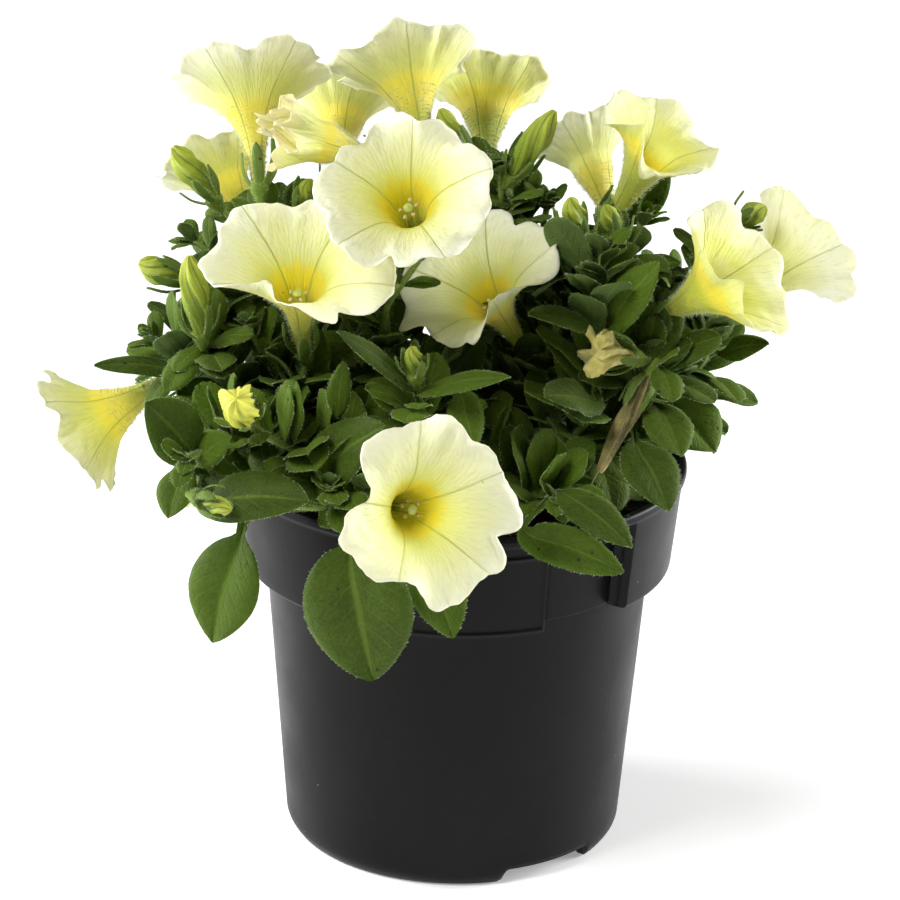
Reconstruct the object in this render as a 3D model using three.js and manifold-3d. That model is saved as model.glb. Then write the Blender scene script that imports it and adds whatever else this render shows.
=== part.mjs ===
// Potted petunia: one pale yellow trailing petunia in a plain black nursery pot.
// Millimetres, +Z up, front towards -Y. The origin is the centre of the pot's foot.

import * as THREE from 'three';
import { mergeVertices } from 'three/addons/utils/BufferGeometryUtils.js';
import { LoftGeometry } from 'three/addons/geometries/LoftGeometry.js';
import Module from 'manifold-3d';

const wasm = await Module();
wasm.setup();

// ---------------------------------------------------------------------------
// Driving dimensions
// ---------------------------------------------------------------------------

// Pot
const POT_HEIGHT = 122;
const LIP_RADIUS = 70;
const LIP_HEIGHT = 4;
const BAND_TOP_RADIUS = 68.9;
const BAND_FOOT_RADIUS = 66;
const BAND_FOOT_HEIGHT = 89.5;
const BODY_TOP_RADIUS = 59.4;
const BODY_FOOT_RADIUS = 52.5;
const BODY_FOOT_HEIGHT = 3.4;
const FOOT_RADIUS = 50.5;
const WALL = 1.4;
const BASE_THICKNESS = 2;
const BASE_DISC_RADIUS = 24;
const BASE_SLOPE = 4;
const FOOT_RING = 3;
const POT_SIDES = 32;

// Recess in the band: angles are counted from the front, positive to the right
const RECESS_FROM = -26;
const RECESS_TO = 50;
const LABEL_FROM = -17;
const LABEL_TO = 26;
const LABEL_FOOT_HEIGHT = 86.8;
const LABEL_TOP_HEIGHT = 112;
const LABEL_LINE = 0.9;
const LABEL_RELIEF = 0.5;

// Drainage
const NOTCH_ANGLES = [36, 216];
const NOTCH_WIDTH = 34;
const NOTCH_HEIGHT = 5;
const DRAIN_RADIUS = 3.5;
const DRAIN_CIRCLE = 36;
const DRAIN_COUNT = 5;

// Soil
const SOIL_TOP = 110;
const SOIL_BUMP = 1.1;
const SOIL_SIDES = 20;
const HOLE_SIDES = 5;
const GAP = 0.3;

// Stems
const STEM_FOOT = 104;
const STEM_RISES = [0, 4, 8, 12];
const STEM_CLEARANCE = 0.5;
const STEM_RADIUS = 1.4;
const STALK_RADIUS = 0.9;
const STEM_SIDES = 5;
const STALK_SIDES = 3;
const STEM_STEPS = 5;

// Leaves
const BLADE = 0.75;
const FOLD_ANGLE = 18;
const FOLDED_WIDTH = 18.5;
const LEAF_SPACING = 4.6;
const LOWEST_ROOT = 0.3;
const HIGHEST_ROOT = 0.96;
const ROOT_STEPS = 132;
const WALL_CLEARANCE = 7;
const SOIL_CLEARANCE = 4;
const RIM_CLEARANCE = 2.5;
const LEAF_ATTEMPTS = 10;
const LOWEST_LEAF = 29;
const HIGHEST_LEAF = 19;
const TUFT_LEAF = 13;

// The rounded space that the plant fills
const PLANT_CENTRE = [-8, 0, 132];
const PLANT_RADII = [100, 88, 92];

// Blooms
const TRUMPET_LENGTH = 38;
const TRUMPET_RADIUS = 28;
const PETAL = 0.75;
const THROAT_FLOOR = 14;
const NOTCH_DEPTH = 0.1;
const BLOOM_SIDES = 15;
const BUD_SIDES = 6;
const SEPAL = 0.7;
const SEPAL_LENGTH = 12;
const SEPAL_LEAN = 3;
const CUP_RADIUS = 2.2;

const UP = new THREE.Vector3(0, 0, 1);

// ---------------------------------------------------------------------------
// The plant's layout, set by hand
// ---------------------------------------------------------------------------

// Radius and height of each ring of a trumpet, from its base to its rim
const FLAT_TRUMPET = [[1.7, 0], [4.4, 19], [10, 30], [18.5, 35.5], [28, 38]];
const CONE_TRUMPET = [[1.7, 0], [4.2, 16], [12, 27.5], [28, 38]];

// Each stem stands in the soil at its foot, and its path goes on from there.
// Each leaf of a stem runs from its base to its tip; fill is how many leaves the growth rule tries to add,
// and tuft is how many small ones stand round the shoot's tip.
const STEMS = [
  {
    name: 'stem_front',
    foot: [-6, -24],
    path: [[-14, -44, 124], [-22, -60, 131]],
    leaves: [
      { base: [-31, -80, 122], tip: [-24, -86, 84], width: 34, face: [-0.2, -1, 0.1] },
      { base: [-10, -74, 124], tip: [-1, -84, 97], width: 18, face: [0, -1, 0.2] },
    ],
    ends: 'bloom_front',
    fill: 3,
    tuft: 0,
  },
  {
    name: 'stem_front_left',
    foot: [-20, -20],
    path: [[-30, -50, 127], [-40, -68, 131], [-58, -64, 131], [-76, -58, 136]],
    leaves: [
      { base: [-73, -74, 135], tip: [-43, -88, 141], width: 19, face: [0.1, -0.6, 0.8] },
      { base: [-64, -66, 119], tip: [-72, -70, 88], width: 24, face: [-0.5, -0.9, 0.1] },
    ],
    fill: 4,
    tuft: 0,
  },
  {
    name: 'stem_left_low',
    foot: [-22, -12],
    path: [[-50, -36, 133], [-68, -50, 145], [-82, -60, 152]],
    leaves: [
      { base: [-77, -68, 147], tip: [-90, -78, 166], width: 18, face: [0.3, -0.8, 0.4] },
      { base: [-80, -66, 142], tip: [-84, -77, 130], width: 12, face: [-0.3, -0.9, 0.3] },
      { base: [-77, -67, 145], tip: [-66, -72, 154], width: 10, face: [0, -0.8, 0.6] },
    ],
    fill: 5,
    tuft: 4,
  },
  {
    name: 'stem_left',
    foot: [-24, 2],
    path: [[-45, -13, 133], [-68, -22, 150], [-84, -26, 161], [-92, -28, 168]],
    leaves: [
      { base: [-84, -28, 158], tip: [-109, -34, 161], width: 9, face: [0, -0.4, 0.9] },
      { base: [-86, -29, 158], tip: [-94, -34, 146], width: 8, face: [-0.6, -0.6, 0.3] },
    ],
    fill: 8,
    tuft: 5,
  },
  {
    name: 'stem_yellow_bud',
    foot: [-12, -14],
    path: [[-30, -40, 132], [-52, -62, 148]],
    leaves: [
      { base: [-46, -62, 135], tip: [-22, -76, 160], width: 20, face: [-0.2, -0.7, 0.7] },
      { base: [-37, -60, 156], tip: [-34, -62, 174], width: 7, face: [0.1, -1, 0.2] },
    ],
    ends: 'bud_yellow',
    fill: 5,
    tuft: 0,
  },
  {
    name: 'stem_centre',
    foot: [4, -16],
    path: [[-4, -36, 133], [-10, -50, 148]],
    leaves: [
      { base: [-14, -60, 165], tip: [-36, -70, 186], width: 8, face: [0.3, -0.5, 0.8] },
      { base: [-12, -60, 164], tip: [14, -72, 174], width: 9, face: [0, -0.4, 0.9] },
      { base: [-1, -56, 163], tip: [4, -68, 150], width: 11, face: [0.2, -0.7, 0.6] },
    ],
    ends: 'bud_centre',
    fill: 6,
    tuft: 3,
  },
  {
    name: 'stem_left_bloom',
    foot: [-18, -4],
    path: [[-38, -22, 134], [-47, -29, 148]],
    leaves: [],
    ends: 'bloom_left',
    fill: 7,
    tuft: 0,
  },
  {
    name: 'stem_crown',
    foot: [-4, -4],
    path: [[-12, -12, 140], [-24, -20, 170]],
    leaves: [],
    ends: 'bloom_crown',
    fill: 7,
    tuft: 0,
  },
  {
    name: 'stem_middle',
    foot: [10, -10],
    path: [[14, -10, 130], [21, -6, 144]],
    leaves: [],
    ends: 'bloom_middle',
    fill: 5,
    tuft: 0,
  },
  {
    name: 'stem_right_centre',
    foot: [20, -8],
    path: [[32, -24, 134], [40, -30, 154], [40, -26, 180], [41, -24, 197]],
    leaves: [
      { base: [40, -42, 156], tip: [24, -57, 163], width: 15, face: [-0.2, -0.6, 0.8] },
      { base: [38, -31, 176], tip: [19, -46, 184], width: 12, face: [-0.2, -0.5, 0.9] },
      { base: [42, -30, 174], tip: [57, -37, 198], width: 13, face: [-0.2, -0.7, 0.6] },
    ],
    fill: 9,
    tuft: 4,
  },
  {
    name: 'stem_right_bloom',
    foot: [22, 2],
    path: [[38, -14, 130], [48, -24, 144], [54, -22, 156]],
    leaves: [
      { base: [52, -42, 143], tip: [61, -66, 131], width: 17, face: [0.1, -0.6, 0.8] },
      { base: [58, -34, 152], tip: [65, -52, 143], width: 15, face: [0.2, -0.7, 0.7] },
      { base: [60, -24, 150], tip: [76, -38, 139], width: 24, face: [0.4, -0.6, 0.7] },
    ],
    ends: 'bloom_right',
    fill: 5,
    tuft: 0,
  },
  {
    name: 'stem_far_right',
    foot: [24, 12],
    path: [[48, 8, 130], [68, 0, 148], [75, 0, 158]],
    leaves: [
      { base: [78, -10, 161], tip: [92, -16, 166], width: 10, face: [0.2, -0.5, 0.8] },
    ],
    ends: 'bloom_far_right',
    fill: 8,
    tuft: 0,
  },
  {
    name: 'stem_right_low',
    foot: [14, -22],
    path: [[20, -38, 122], [25, -48, 128], [28, -56, 131]],
    leaves: [
      { base: [30, -60, 134], tip: [50, -82, 126], width: 13, face: [0, -0.5, 0.9] },
      { base: [19, -73, 127], tip: [48, -84, 119], width: 13, face: [0, -0.8, 0.6] },
    ],
    fill: 4,
    tuft: 0,
  },
  {
    name: 'stem_right_top_bloom',
    foot: [16, 4],
    path: [[28, 4, 145], [36, 8, 170]],
    leaves: [
      { base: [50, 14, 194], tip: [61, 13, 214], width: 13, face: [0, -0.9, 0.4] },
    ],
    ends: 'bloom_right_top',
    fill: 7,
    tuft: 0,
  },
  {
    name: 'stem_back_right',
    foot: [12, 12],
    path: [[18, 16, 145], [14, 16, 175]],
    leaves: [],
    ends: 'bloom_top_right',
    fill: 8,
    tuft: 0,
  },
  {
    name: 'stem_back',
    foot: [-2, 14],
    path: [[-8, 18, 150], [-10, 10, 185]],
    leaves: [],
    ends: 'bloom_top',
    fill: 7,
    tuft: 0,
  },
  {
    name: 'stem_back_left',
    foot: [-16, 12],
    path: [[-34, 10, 138], [-52, 6, 165], [-58, 0, 188]],
    leaves: [],
    ends: 'bloom_top_left',
    fill: 8,
    tuft: 0,
  },
  {
    name: 'stem_behind',
    foot: [2, 24],
    path: [[6, 40, 132], [10, 54, 155], [10, 56, 178]],
    leaves: [],
    fill: 8,
    tuft: 4,
  },
  {
    name: 'stem_behind_left',
    foot: [-14, 22],
    path: [[-30, 38, 133], [-46, 50, 152], [-52, 52, 172]],
    leaves: [],
    fill: 8,
    tuft: 4,
  },
  {
    name: 'stem_behind_right',
    foot: [20, 22],
    path: [[38, 36, 132], [58, 42, 150], [68, 36, 168]],
    leaves: [],
    fill: 8,
    tuft: 4,
  },
];

// Each bloom: centre of its mouth, the way it faces, its radius, how its lobes are turned (degrees), and how
// single lobes curl towards the viewer of its mouth (lift in mm at an angle in degrees).
// The stalk leaves its stem at the part "at" of that stem's path; a bloom without one ends the stem itself.
const BLOOMS = [
  { name: 'bloom_front', stem: 'stem_front', mouth: [-8, -108, 146], faces: [0.42, -0.86, 0.29],
    radius: 28, turn: 20, rings: FLAT_TRUMPET, curls: [{ at: 160, lift: -3, spread: 30 }] },
  { name: 'bloom_crown', stem: 'stem_crown', mouth: [-18, -66, 228], faces: [-0.13, -0.69, 0.71],
    radius: 27.5, turn: 90, rings: FLAT_TRUMPET, curls: [] },
  { name: 'bloom_left', stem: 'stem_left_bloom', mouth: [-49, -52, 200], faces: [-0.06, -0.46, 0.88],
    radius: 29, turn: 60, rings: FLAT_TRUMPET, curls: [{ at: 285, lift: 7, spread: 24 }] },
  { name: 'bloom_middle', stem: 'stem_middle', mouth: [4, -20, 185], faces: [-0.39, -0.55, 0.74],
    radius: 26, turn: 40, rings: FLAT_TRUMPET, curls: [{ at: 320, lift: 7, spread: 26 }] },
  { name: 'bloom_right_top', stem: 'stem_right_top_bloom', mouth: [58, 0, 225], faces: [0.42, -0.21, 0.88],
    radius: 22, turn: 30, rings: FLAT_TRUMPET, curls: [{ at: 215, lift: -7, spread: 30 }] },
  { name: 'bloom_right', stem: 'stem_right_bloom', mouth: [82.4, -28, 193], faces: [0.75, -0.3, 0.59],
    radius: 24, turn: 70, rings: CONE_TRUMPET, curls: [{ at: 90, lift: -3, spread: 30 }] },
  { name: 'bloom_far_right', stem: 'stem_far_right', mouth: [106, 22, 185], faces: [0.72, 0.51, 0.47],
    radius: 22, turn: 15, rings: CONE_TRUMPET, curls: [] },
  { name: 'bloom_top_left', stem: 'stem_back_left', mouth: [-66, 16, 237.5], faces: [-0.12, 0.66, 0.74],
    radius: 24, turn: 50, rings: CONE_TRUMPET, curls: [] },
  { name: 'bloom_wilting', stem: 'stem_crown', at: 0.78, via: [[-24, -14, 195]], mouth: [-53, -22, 231],
    faces: [-0.86, -0.34, 0.38], radius: 16, turn: 10, rings: CONE_TRUMPET,
    curls: [{ at: 60, lift: 6, spread: 25 }, { at: 200, lift: 6, spread: 30 }] },
  { name: 'bloom_behind', stem: 'stem_back', at: 0.62, via: [[-28, 20, 182]], mouth: [-38.5, 56, 223],
    faces: [0.03, 0.66, 0.75], radius: 19, turn: 35, rings: CONE_TRUMPET, curls: [] },
  { name: 'bloom_top', stem: 'stem_back', mouth: [-20, 22, 243], faces: [-0.24, 0.6, 0.77],
    radius: 23, turn: 5, rings: CONE_TRUMPET, curls: [{ at: 200, lift: -4, spread: 30 }] },
  { name: 'bloom_top_right', stem: 'stem_back_right', mouth: [6, 52, 227.5], faces: [0, 0.69, 0.73],
    radius: 20, turn: 65, rings: CONE_TRUMPET, curls: [] },
  { name: 'bloom_back_left', stem: 'stem_back_left', at: 0.66, via: [], mouth: [-79, 36, 206],
    faces: [-0.47, 0.54, 0.7], radius: 18, turn: 25, rings: CONE_TRUMPET, curls: [] },
  { name: 'bloom_right_back', stem: 'stem_back_right', at: 0.55, via: [[36, 24, 168]], mouth: [35, 40, 214],
    faces: [-0.32, 0.64, 0.69], radius: 16, turn: 45, rings: CONE_TRUMPET, curls: [] },
  { name: 'bloom_far_left', stem: 'stem_left', at: 0.72, via: [], mouth: [-116, -22, 135],
    faces: [-0.85, -0.04, -0.52], radius: 21, turn: 55, rings: CONE_TRUMPET, curls: [] },
  { name: 'bloom_hanging', stem: 'stem_left', at: 0.62, via: [[-70, -12, 156]], mouth: [-78, -22, 113.5],
    faces: [-0.05, -0.26, -0.96], radius: 8, turn: 0, rings: CONE_TRUMPET, curls: [] },
];

// Each bud: from its base to its tip, and its radius; at and via as for blooms
const BUDS = [
  { name: 'bud_yellow', stem: 'stem_yellow_bud', base: [-62, -76, 161], tip: [-63.7, -88, 171.5],
    radius: 5.5 },
  { name: 'bud_green_tip', stem: 'stem_front_left', at: 1, via: [[-76, -72, 137]], base: [-74, -84, 139],
    tip: [-65, -92, 139], radius: 2.5 },
  { name: 'bud_left', stem: 'stem_left', at: 0.78, via: [[-76, -30, 166]], base: [-77, -38, 173],
    tip: [-80, -42, 198], radius: 4 },
  { name: 'bud_far_left', stem: 'stem_left', at: 0.8, via: [[-78, -18, 172]], base: [-83, -12, 180],
    tip: [-97, -12, 186], radius: 4 },
  { name: 'bud_back_left', stem: 'stem_back_left', at: 0.86, via: [[-68, 4, 193]], base: [-76, 5, 201],
    tip: [-88, 5, 217], radius: 4 },
  { name: 'bud_upper_left', stem: 'stem_back_left', at: 0.82, via: [[-51, -4, 192]], base: [-49, -4, 202],
    tip: [-46, -6, 211], radius: 3 },
  { name: 'bud_top', stem: 'stem_back_right', at: 0.8, via: [[15, 8, 198]], base: [14, 3, 211],
    tip: [26, 0, 232], radius: 4 },
  { name: 'bud_top_green', stem: 'stem_back_right', at: 0.9, via: [[2, 9, 204]], base: [0, 9, 213],
    tip: [-8, 10, 229], radius: 3.5 },
  { name: 'bud_right_centre', stem: 'stem_right_centre', at: 0.9, via: [[35, -21, 190]], base: [34, -20, 197],
    tip: [31, -22, 212], radius: 3.5 },
  { name: 'bud_far_right', stem: 'stem_far_right', at: 0.82, via: [[76, 6, 172], [79, 8, 188]],
    base: [82, 8, 196], tip: [91, 8, 201], radius: 3.5 },
  { name: 'bud_right_back', stem: 'stem_right_top_bloom', at: 0.86, via: [[43, 0, 187]],
    base: [45.7, -6, 194.5], tip: [42, -6, 205], radius: 3 },
  { name: 'bud_centre', stem: 'stem_centre', base: [-13.5, -60.5, 170], tip: [-14.5, -63, 179], radius: 2.5 },
];

// The dried bloom and the spent one that hangs, given like buds
const DRIED = [
  { name: 'bloom_dried', stem: 'stem_right_bloom', at: 0.82, via: [], base: [51, -35, 167],
    tip: [38, -42, 172], radius: 5 },
  { name: 'bloom_spent', stem: 'stem_right_bloom', at: 0.8, via: [[58, -31, 163]],
    base: [55.5, -34.5, 161.5], tip: [41, -50, 137], radius: 3 },
];

// ---------------------------------------------------------------------------
// Solids
// ---------------------------------------------------------------------------

const vector = (coordinates) => new THREE.Vector3(...coordinates);
const radians = THREE.MathUtils.degToRad;

/** The closed solid of a geometry, with shared points merged and collapsed triangles left out. */
function solid(geometry) {
  const bare = new THREE.BufferGeometry();
  bare.setAttribute('position', geometry.getAttribute('position'));
  bare.setIndex(geometry.getIndex());
  const merged = mergeVertices(bare, 1e-4);
  const triangles = [];
  for (let i = 0; i < merged.index.count; i += 3) {
    const [a, b, c] = merged.index.array.slice(i, i + 3);
    if (a !== b && b !== c && a !== c) triangles.push(a, b, c);
  }
  return new wasm.Manifold(new wasm.Mesh({
    numProp: 3,
    vertProperties: merged.attributes.position.array,
    triVerts: new Uint32Array(triangles),
  }));
}

/** The largest body of a solid, without the loose scraps that a cut can leave. */
function largestBody(whole) {
  return whole.decompose().reduce((largest, body) => (body.volume() > largest.volume() ? body : largest));
}

/** The named mesh of a solid. */
function namedMesh(name, body, material) {
  const mesh = body.getMesh();
  const geometry = new THREE.BufferGeometry();
  geometry.setAttribute('position', new THREE.BufferAttribute(mesh.vertProperties, 3));
  geometry.setIndex(new THREE.BufferAttribute(mesh.triVerts, 1));
  geometry.computeVertexNormals();
  const named = new THREE.Mesh(geometry, material);
  named.name = name;
  return named;
}

/**
 * The closed geometry between two sheets of points with the same rows and columns. Both sheets are split into
 * triangles alike, so a thin waved sheet never crosses itself. A wrapped sheet joins its last column to its
 * first.
 */
function sheetGeometry(front, back, wrapped = false) {
  const rows = front.length;
  const columns = front[0].length;
  const spans = wrapped ? columns : columns - 1;
  const positions = [...front.flat(), ...back.flat()].flatMap((point) => point.toArray());
  const at = (sheet, row, column) => (sheet * rows + row) * columns + (column % columns);
  const index = [];
  const quad = (a, b, c, d) => index.push(a, b, c, a, c, d);
  for (let i = 0; i < rows - 1; i += 1) {
    for (let j = 0; j < spans; j += 1) {
      quad(at(0, i, j), at(0, i, j + 1), at(0, i + 1, j + 1), at(0, i + 1, j));
      index.push(at(1, i, j), at(1, i + 1, j + 1), at(1, i, j + 1));
      index.push(at(1, i, j), at(1, i + 1, j), at(1, i + 1, j + 1));
    }
  }
  for (let j = 0; j < spans; j += 1) {
    quad(at(0, 0, j + 1), at(0, 0, j), at(1, 0, j), at(1, 0, j + 1));
    quad(at(0, rows - 1, j), at(0, rows - 1, j + 1), at(1, rows - 1, j + 1), at(1, rows - 1, j));
  }
  for (let i = 0; i < rows - 1 && !wrapped; i += 1) {
    quad(at(0, i, 0), at(0, i + 1, 0), at(1, i + 1, 0), at(1, i, 0));
    quad(at(0, i + 1, spans), at(0, i, spans), at(1, i, spans), at(1, i + 1, spans));
  }
  const geometry = new THREE.BufferGeometry();
  geometry.setAttribute('position', new THREE.Float32BufferAttribute(positions, 3));
  geometry.setIndex(index);
  return geometry;
}

/** The solid of revolution of a profile of [radius, height] points about the pot's axis. */
function turned(profile, sides = POT_SIDES) {
  const geometry = new THREE.LatheGeometry(profile.map(([r, z]) => new THREE.Vector2(r, z)), sides);
  return solid(geometry.rotateX(Math.PI / 2));
}

/** A pie slice about the pot's axis between two angles, counted from the front, and two heights. */
function slice(from, to, low, high) {
  const reach = 2 * LIP_RADIUS;
  const shape = new THREE.Shape([new THREE.Vector2(0, 0)]);
  const steps = 4;
  for (let i = 0; i <= steps; i += 1) {
    const angle = radians(from + ((to - from) * i) / steps - 90);
    shape.lineTo(reach * Math.cos(angle), reach * Math.sin(angle));
  }
  const geometry = new THREE.ExtrudeGeometry(shape, { depth: high - low, bevelEnabled: false });
  return solid(geometry.translate(0, 0, low));
}

/** A tube along a curve, with a ring at each station of it, tapering from one radius to another. */
function tube(curve, stations, startRadius, endRadius, sides) {
  const first = curve.getTangent(0);
  let normal = Math.abs(first.x) < 0.8 ? new THREE.Vector3(1, 0, 0) : new THREE.Vector3(0, 1, 0);
  const sections = stations.map((station) => {
    const forward = curve.getTangent(station);
    normal = normal.clone().addScaledVector(forward, -normal.dot(forward)).normalize();
    const across = new THREE.Vector3().crossVectors(forward, normal);
    const radius = THREE.MathUtils.lerp(startRadius, endRadius, station);
    const section = [];
    for (let j = 0; j < sides; j += 1) {
      const angle = (2 * Math.PI * j) / sides;
      section.push(curve.getPoint(station)
        .addScaledVector(normal, radius * Math.cos(angle))
        .addScaledVector(across, radius * Math.sin(angle)));
    }
    return section;
  });
  return solid(new LoftGeometry(sections, { capStart: true, capEnd: true }));
}

/** A smooth curve through points. */
function smoothCurve(points) {
  return new THREE.CatmullRomCurve3(points, false, 'catmullrom', 0.5);
}

/** Numbers evenly spaced from one to another, both included. */
function evenly(from, to, steps) {
  return Array.from({ length: steps + 1 }, (_, i) => THREE.MathUtils.lerp(from, to, i / steps));
}

/** Two unit vectors square to an axis: the right and the up of someone who looks at it head on. */
function crossAxes(axis) {
  const hint = Math.abs(axis.z) > 0.95 ? new THREE.Vector3(0, 1, 0) : UP;
  const right = new THREE.Vector3().crossVectors(hint, axis).normalize();
  const up = new THREE.Vector3().crossVectors(axis, right);
  return { right, up };
}

/** A stream of numbers from 0 to 1 that is the same for the same seed. */
function randomStream(seed) {
  let state = seed;
  return () => {
    state = (state + 0x6d2b79f5) | 0;
    let mixed = Math.imul(state ^ (state >>> 15), 1 | state);
    mixed = (mixed + Math.imul(mixed ^ (mixed >>> 7), 61 | mixed)) ^ mixed;
    return ((mixed ^ (mixed >>> 14)) >>> 0) / 4294967296;
  };
}

// ---------------------------------------------------------------------------
// Pot and soil
// ---------------------------------------------------------------------------

/** Radius of the pot's body cone at a height. */
function bodyRadius(height) {
  const slope = (BODY_TOP_RADIUS - BODY_FOOT_RADIUS) / (BAND_FOOT_HEIGHT - BODY_FOOT_HEIGHT);
  return BODY_FOOT_RADIUS + slope * (height - BODY_FOOT_HEIGHT);
}

/** What lies outside a cone, between two heights and two angles. */
function outsideCone(offset, from, to, low, high) {
  const reach = LIP_RADIUS + 10;
  const ring = turned([
    [bodyRadius(low) + offset, low],
    [reach, low],
    [reach, high],
    [bodyRadius(high) + offset, high],
    [bodyRadius(low) + offset, low],
  ]);
  return ring.intersect(slice(from, to, low - 1, high + 1));
}

/**
 * The pot's outer form, with its lip, its band and the recess at the front. It stands on a central disc and a
 * foot ring, and between them the base is raised, so that water runs off through the notches.
 */
function potForm() {
  const lipFoot = POT_HEIGHT - LIP_HEIGHT;
  const form = turned([
    [0, 0],
    [BASE_DISC_RADIUS, 0],
    [BASE_DISC_RADIUS + BASE_SLOPE, NOTCH_HEIGHT],
    [FOOT_RADIUS - FOOT_RING, NOTCH_HEIGHT],
    [FOOT_RADIUS - FOOT_RING, 0],
    [FOOT_RADIUS, 0],
    [BODY_FOOT_RADIUS, BODY_FOOT_HEIGHT],
    [BODY_TOP_RADIUS, BAND_FOOT_HEIGHT],
    [BAND_FOOT_RADIUS, BAND_FOOT_HEIGHT],
    [BAND_TOP_RADIUS, lipFoot],
    [LIP_RADIUS, lipFoot + 0.6],
    [LIP_RADIUS, POT_HEIGHT - 0.8],
    [LIP_RADIUS - 0.8, POT_HEIGHT],
    [0, POT_HEIGHT],
  ]);
  return form.subtract(outsideCone(0, RECESS_FROM, RECESS_TO, BAND_FOOT_HEIGHT - 3, lipFoot));
}

/** The space inside the pot above its base plate, larger or smaller by an offset. */
function potHollow(offset) {
  const skin = WALL - offset;
  const floor = NOTCH_HEIGHT + BASE_THICKNESS - offset;
  const lipFoot = POT_HEIGHT - LIP_HEIGHT;
  const shoulder = BAND_FOOT_HEIGHT + WALL;
  const hollow = turned([
    [0, floor - NOTCH_HEIGHT],
    [BASE_DISC_RADIUS - 1, floor - NOTCH_HEIGHT],
    [BASE_DISC_RADIUS + BASE_SLOPE - 1, floor],
    [bodyRadius(floor) - skin - 1, floor],
    [bodyRadius(floor + 3) - skin, floor + 3],
    [bodyRadius(BAND_FOOT_HEIGHT) - skin, shoulder - offset],
    [BAND_FOOT_RADIUS - skin, shoulder + 1 - offset],
    [BAND_TOP_RADIUS - skin, lipFoot],
    [BAND_TOP_RADIUS - skin, POT_HEIGHT + 1],
    [0, POT_HEIGHT + 1],
  ]);
  const side = THREE.MathUtils.radToDeg(skin / BAND_FOOT_RADIUS);
  const [from, to] = [RECESS_FROM - side, RECESS_TO + side];
  const recess = outsideCone(-skin, from, to, BAND_FOOT_HEIGHT - 3, lipFoot + offset);
  return hollow.subtract(recess);
}

/** The raised line round the label's place in the recess. */
function labelFrame() {
  const lineAngle = THREE.MathUtils.radToDeg(LABEL_LINE / BODY_TOP_RADIUS);
  const low = LABEL_FOOT_HEIGHT;
  const high = LABEL_TOP_HEIGHT;
  const beyond = outsideCone(LABEL_RELIEF, LABEL_FROM - 1, LABEL_TO + 1, low - 2, high + 2);
  const plate = outsideCone(-WALL / 2, LABEL_FROM, LABEL_TO, low, high).subtract(beyond);
  const [from, to] = [LABEL_FROM + lineAngle, LABEL_TO - lineAngle];
  const inner = outsideCone(-WALL, from, to, low + LABEL_LINE, high - LABEL_LINE);
  return plate.subtract(inner);
}

/** One drain notch through the pot's foot. */
function drainNotch(angle) {
  const half = NOTCH_WIDTH / 2;
  const shape = new THREE.Shape();
  shape.moveTo(-half, -1);
  shape.lineTo(half, -1);
  shape.lineTo(half - 2.5, NOTCH_HEIGHT);
  shape.lineTo(-half + 2.5, NOTCH_HEIGHT);
  shape.closePath();
  const depth = 8;
  const geometry = new THREE.ExtrudeGeometry(shape, { depth, bevelEnabled: false });
  geometry.rotateX(Math.PI / 2);
  geometry.translate(0, -(FOOT_RADIUS - depth), 0);
  geometry.rotateZ(radians(angle));
  return solid(geometry);
}

/** One drain hole through the base plate. */
function drainHole(index) {
  const angle = radians((360 * index) / DRAIN_COUNT);
  const geometry = new THREE.CylinderGeometry(DRAIN_RADIUS, DRAIN_RADIUS, 30, 8);
  geometry.rotateX(Math.PI / 2);
  geometry.translate(DRAIN_CIRCLE * Math.cos(angle), DRAIN_CIRCLE * Math.sin(angle), 0);
  return solid(geometry);
}

function potSolid() {
  let pot = potForm().subtract(potHollow(0));
  pot = pot.add(labelFrame());
  for (const angle of NOTCH_ANGLES) pot = pot.subtract(drainNotch(angle));
  for (let i = 0; i < DRAIN_COUNT; i += 1) pot = pot.subtract(drainHole(i));
  return largestBody(pot);
}

/** Height of the soil's lumpy top at a place. */
function soilHeight(x, y) {
  return SOIL_TOP + SOIL_BUMP * (Math.sin(x / 5.1) * Math.cos(y / 6.3) + 0.5 * Math.sin(y / 3.7 + x / 9));
}

/** The block of soil before it is fitted into the pot, with its lumpy top. */
function soilBlock() {
  const ring = (radius, low) => {
    const points = [];
    for (let j = 0; j < SOIL_SIDES; j += 1) {
      const angle = (2 * Math.PI * j) / SOIL_SIDES;
      const x = radius * Math.cos(angle);
      const y = radius * Math.sin(angle);
      points.push(new THREE.Vector3(x, y, low ?? soilHeight(x, y)));
    }
    return points;
  };
  const rows = [ring(0, 0), ring(LIP_RADIUS, 0)];
  for (const share of [1, 0.5, 0]) rows.push(ring(share * LIP_RADIUS));
  return solid(new LoftGeometry(rows));
}

/** The soil, which fills the pot and has a plain hole round each stem's foot. */
function soilSolid() {
  let soil = soilBlock().intersect(potHollow(-GAP));
  for (const stem of STEMS) {
    const radius = (STEM_RADIUS + STEM_CLEARANCE) / Math.cos(Math.PI / HOLE_SIDES);
    const low = STEM_FOOT - GAP;
    const high = SOIL_TOP + 8;
    const hole = new THREE.CylinderGeometry(radius, radius, high - low, HOLE_SIDES);
    hole.rotateX(Math.PI / 2);
    hole.translate(...stem.foot, (low + high) / 2);
    soil = soil.subtract(solid(hole));
  }
  return soil;
}

// ---------------------------------------------------------------------------
// Leaves
// ---------------------------------------------------------------------------

// Half width of a blade along its centre line, as parts of its length and of its greatest half width.
// A stalked leaf's centre line starts at its stem, and its blade at a third of the line.
const STALKED_OUTLINE = [[0, 0], [0.33, 0.13], [0.5, 0.88], [0.66, 1], [0.85, 0.62], [1, 0]];
const PLAIN_OUTLINE = [[0, 0], [0.38, 0.94], [0.74, 0.78], [1, 0]];

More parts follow.
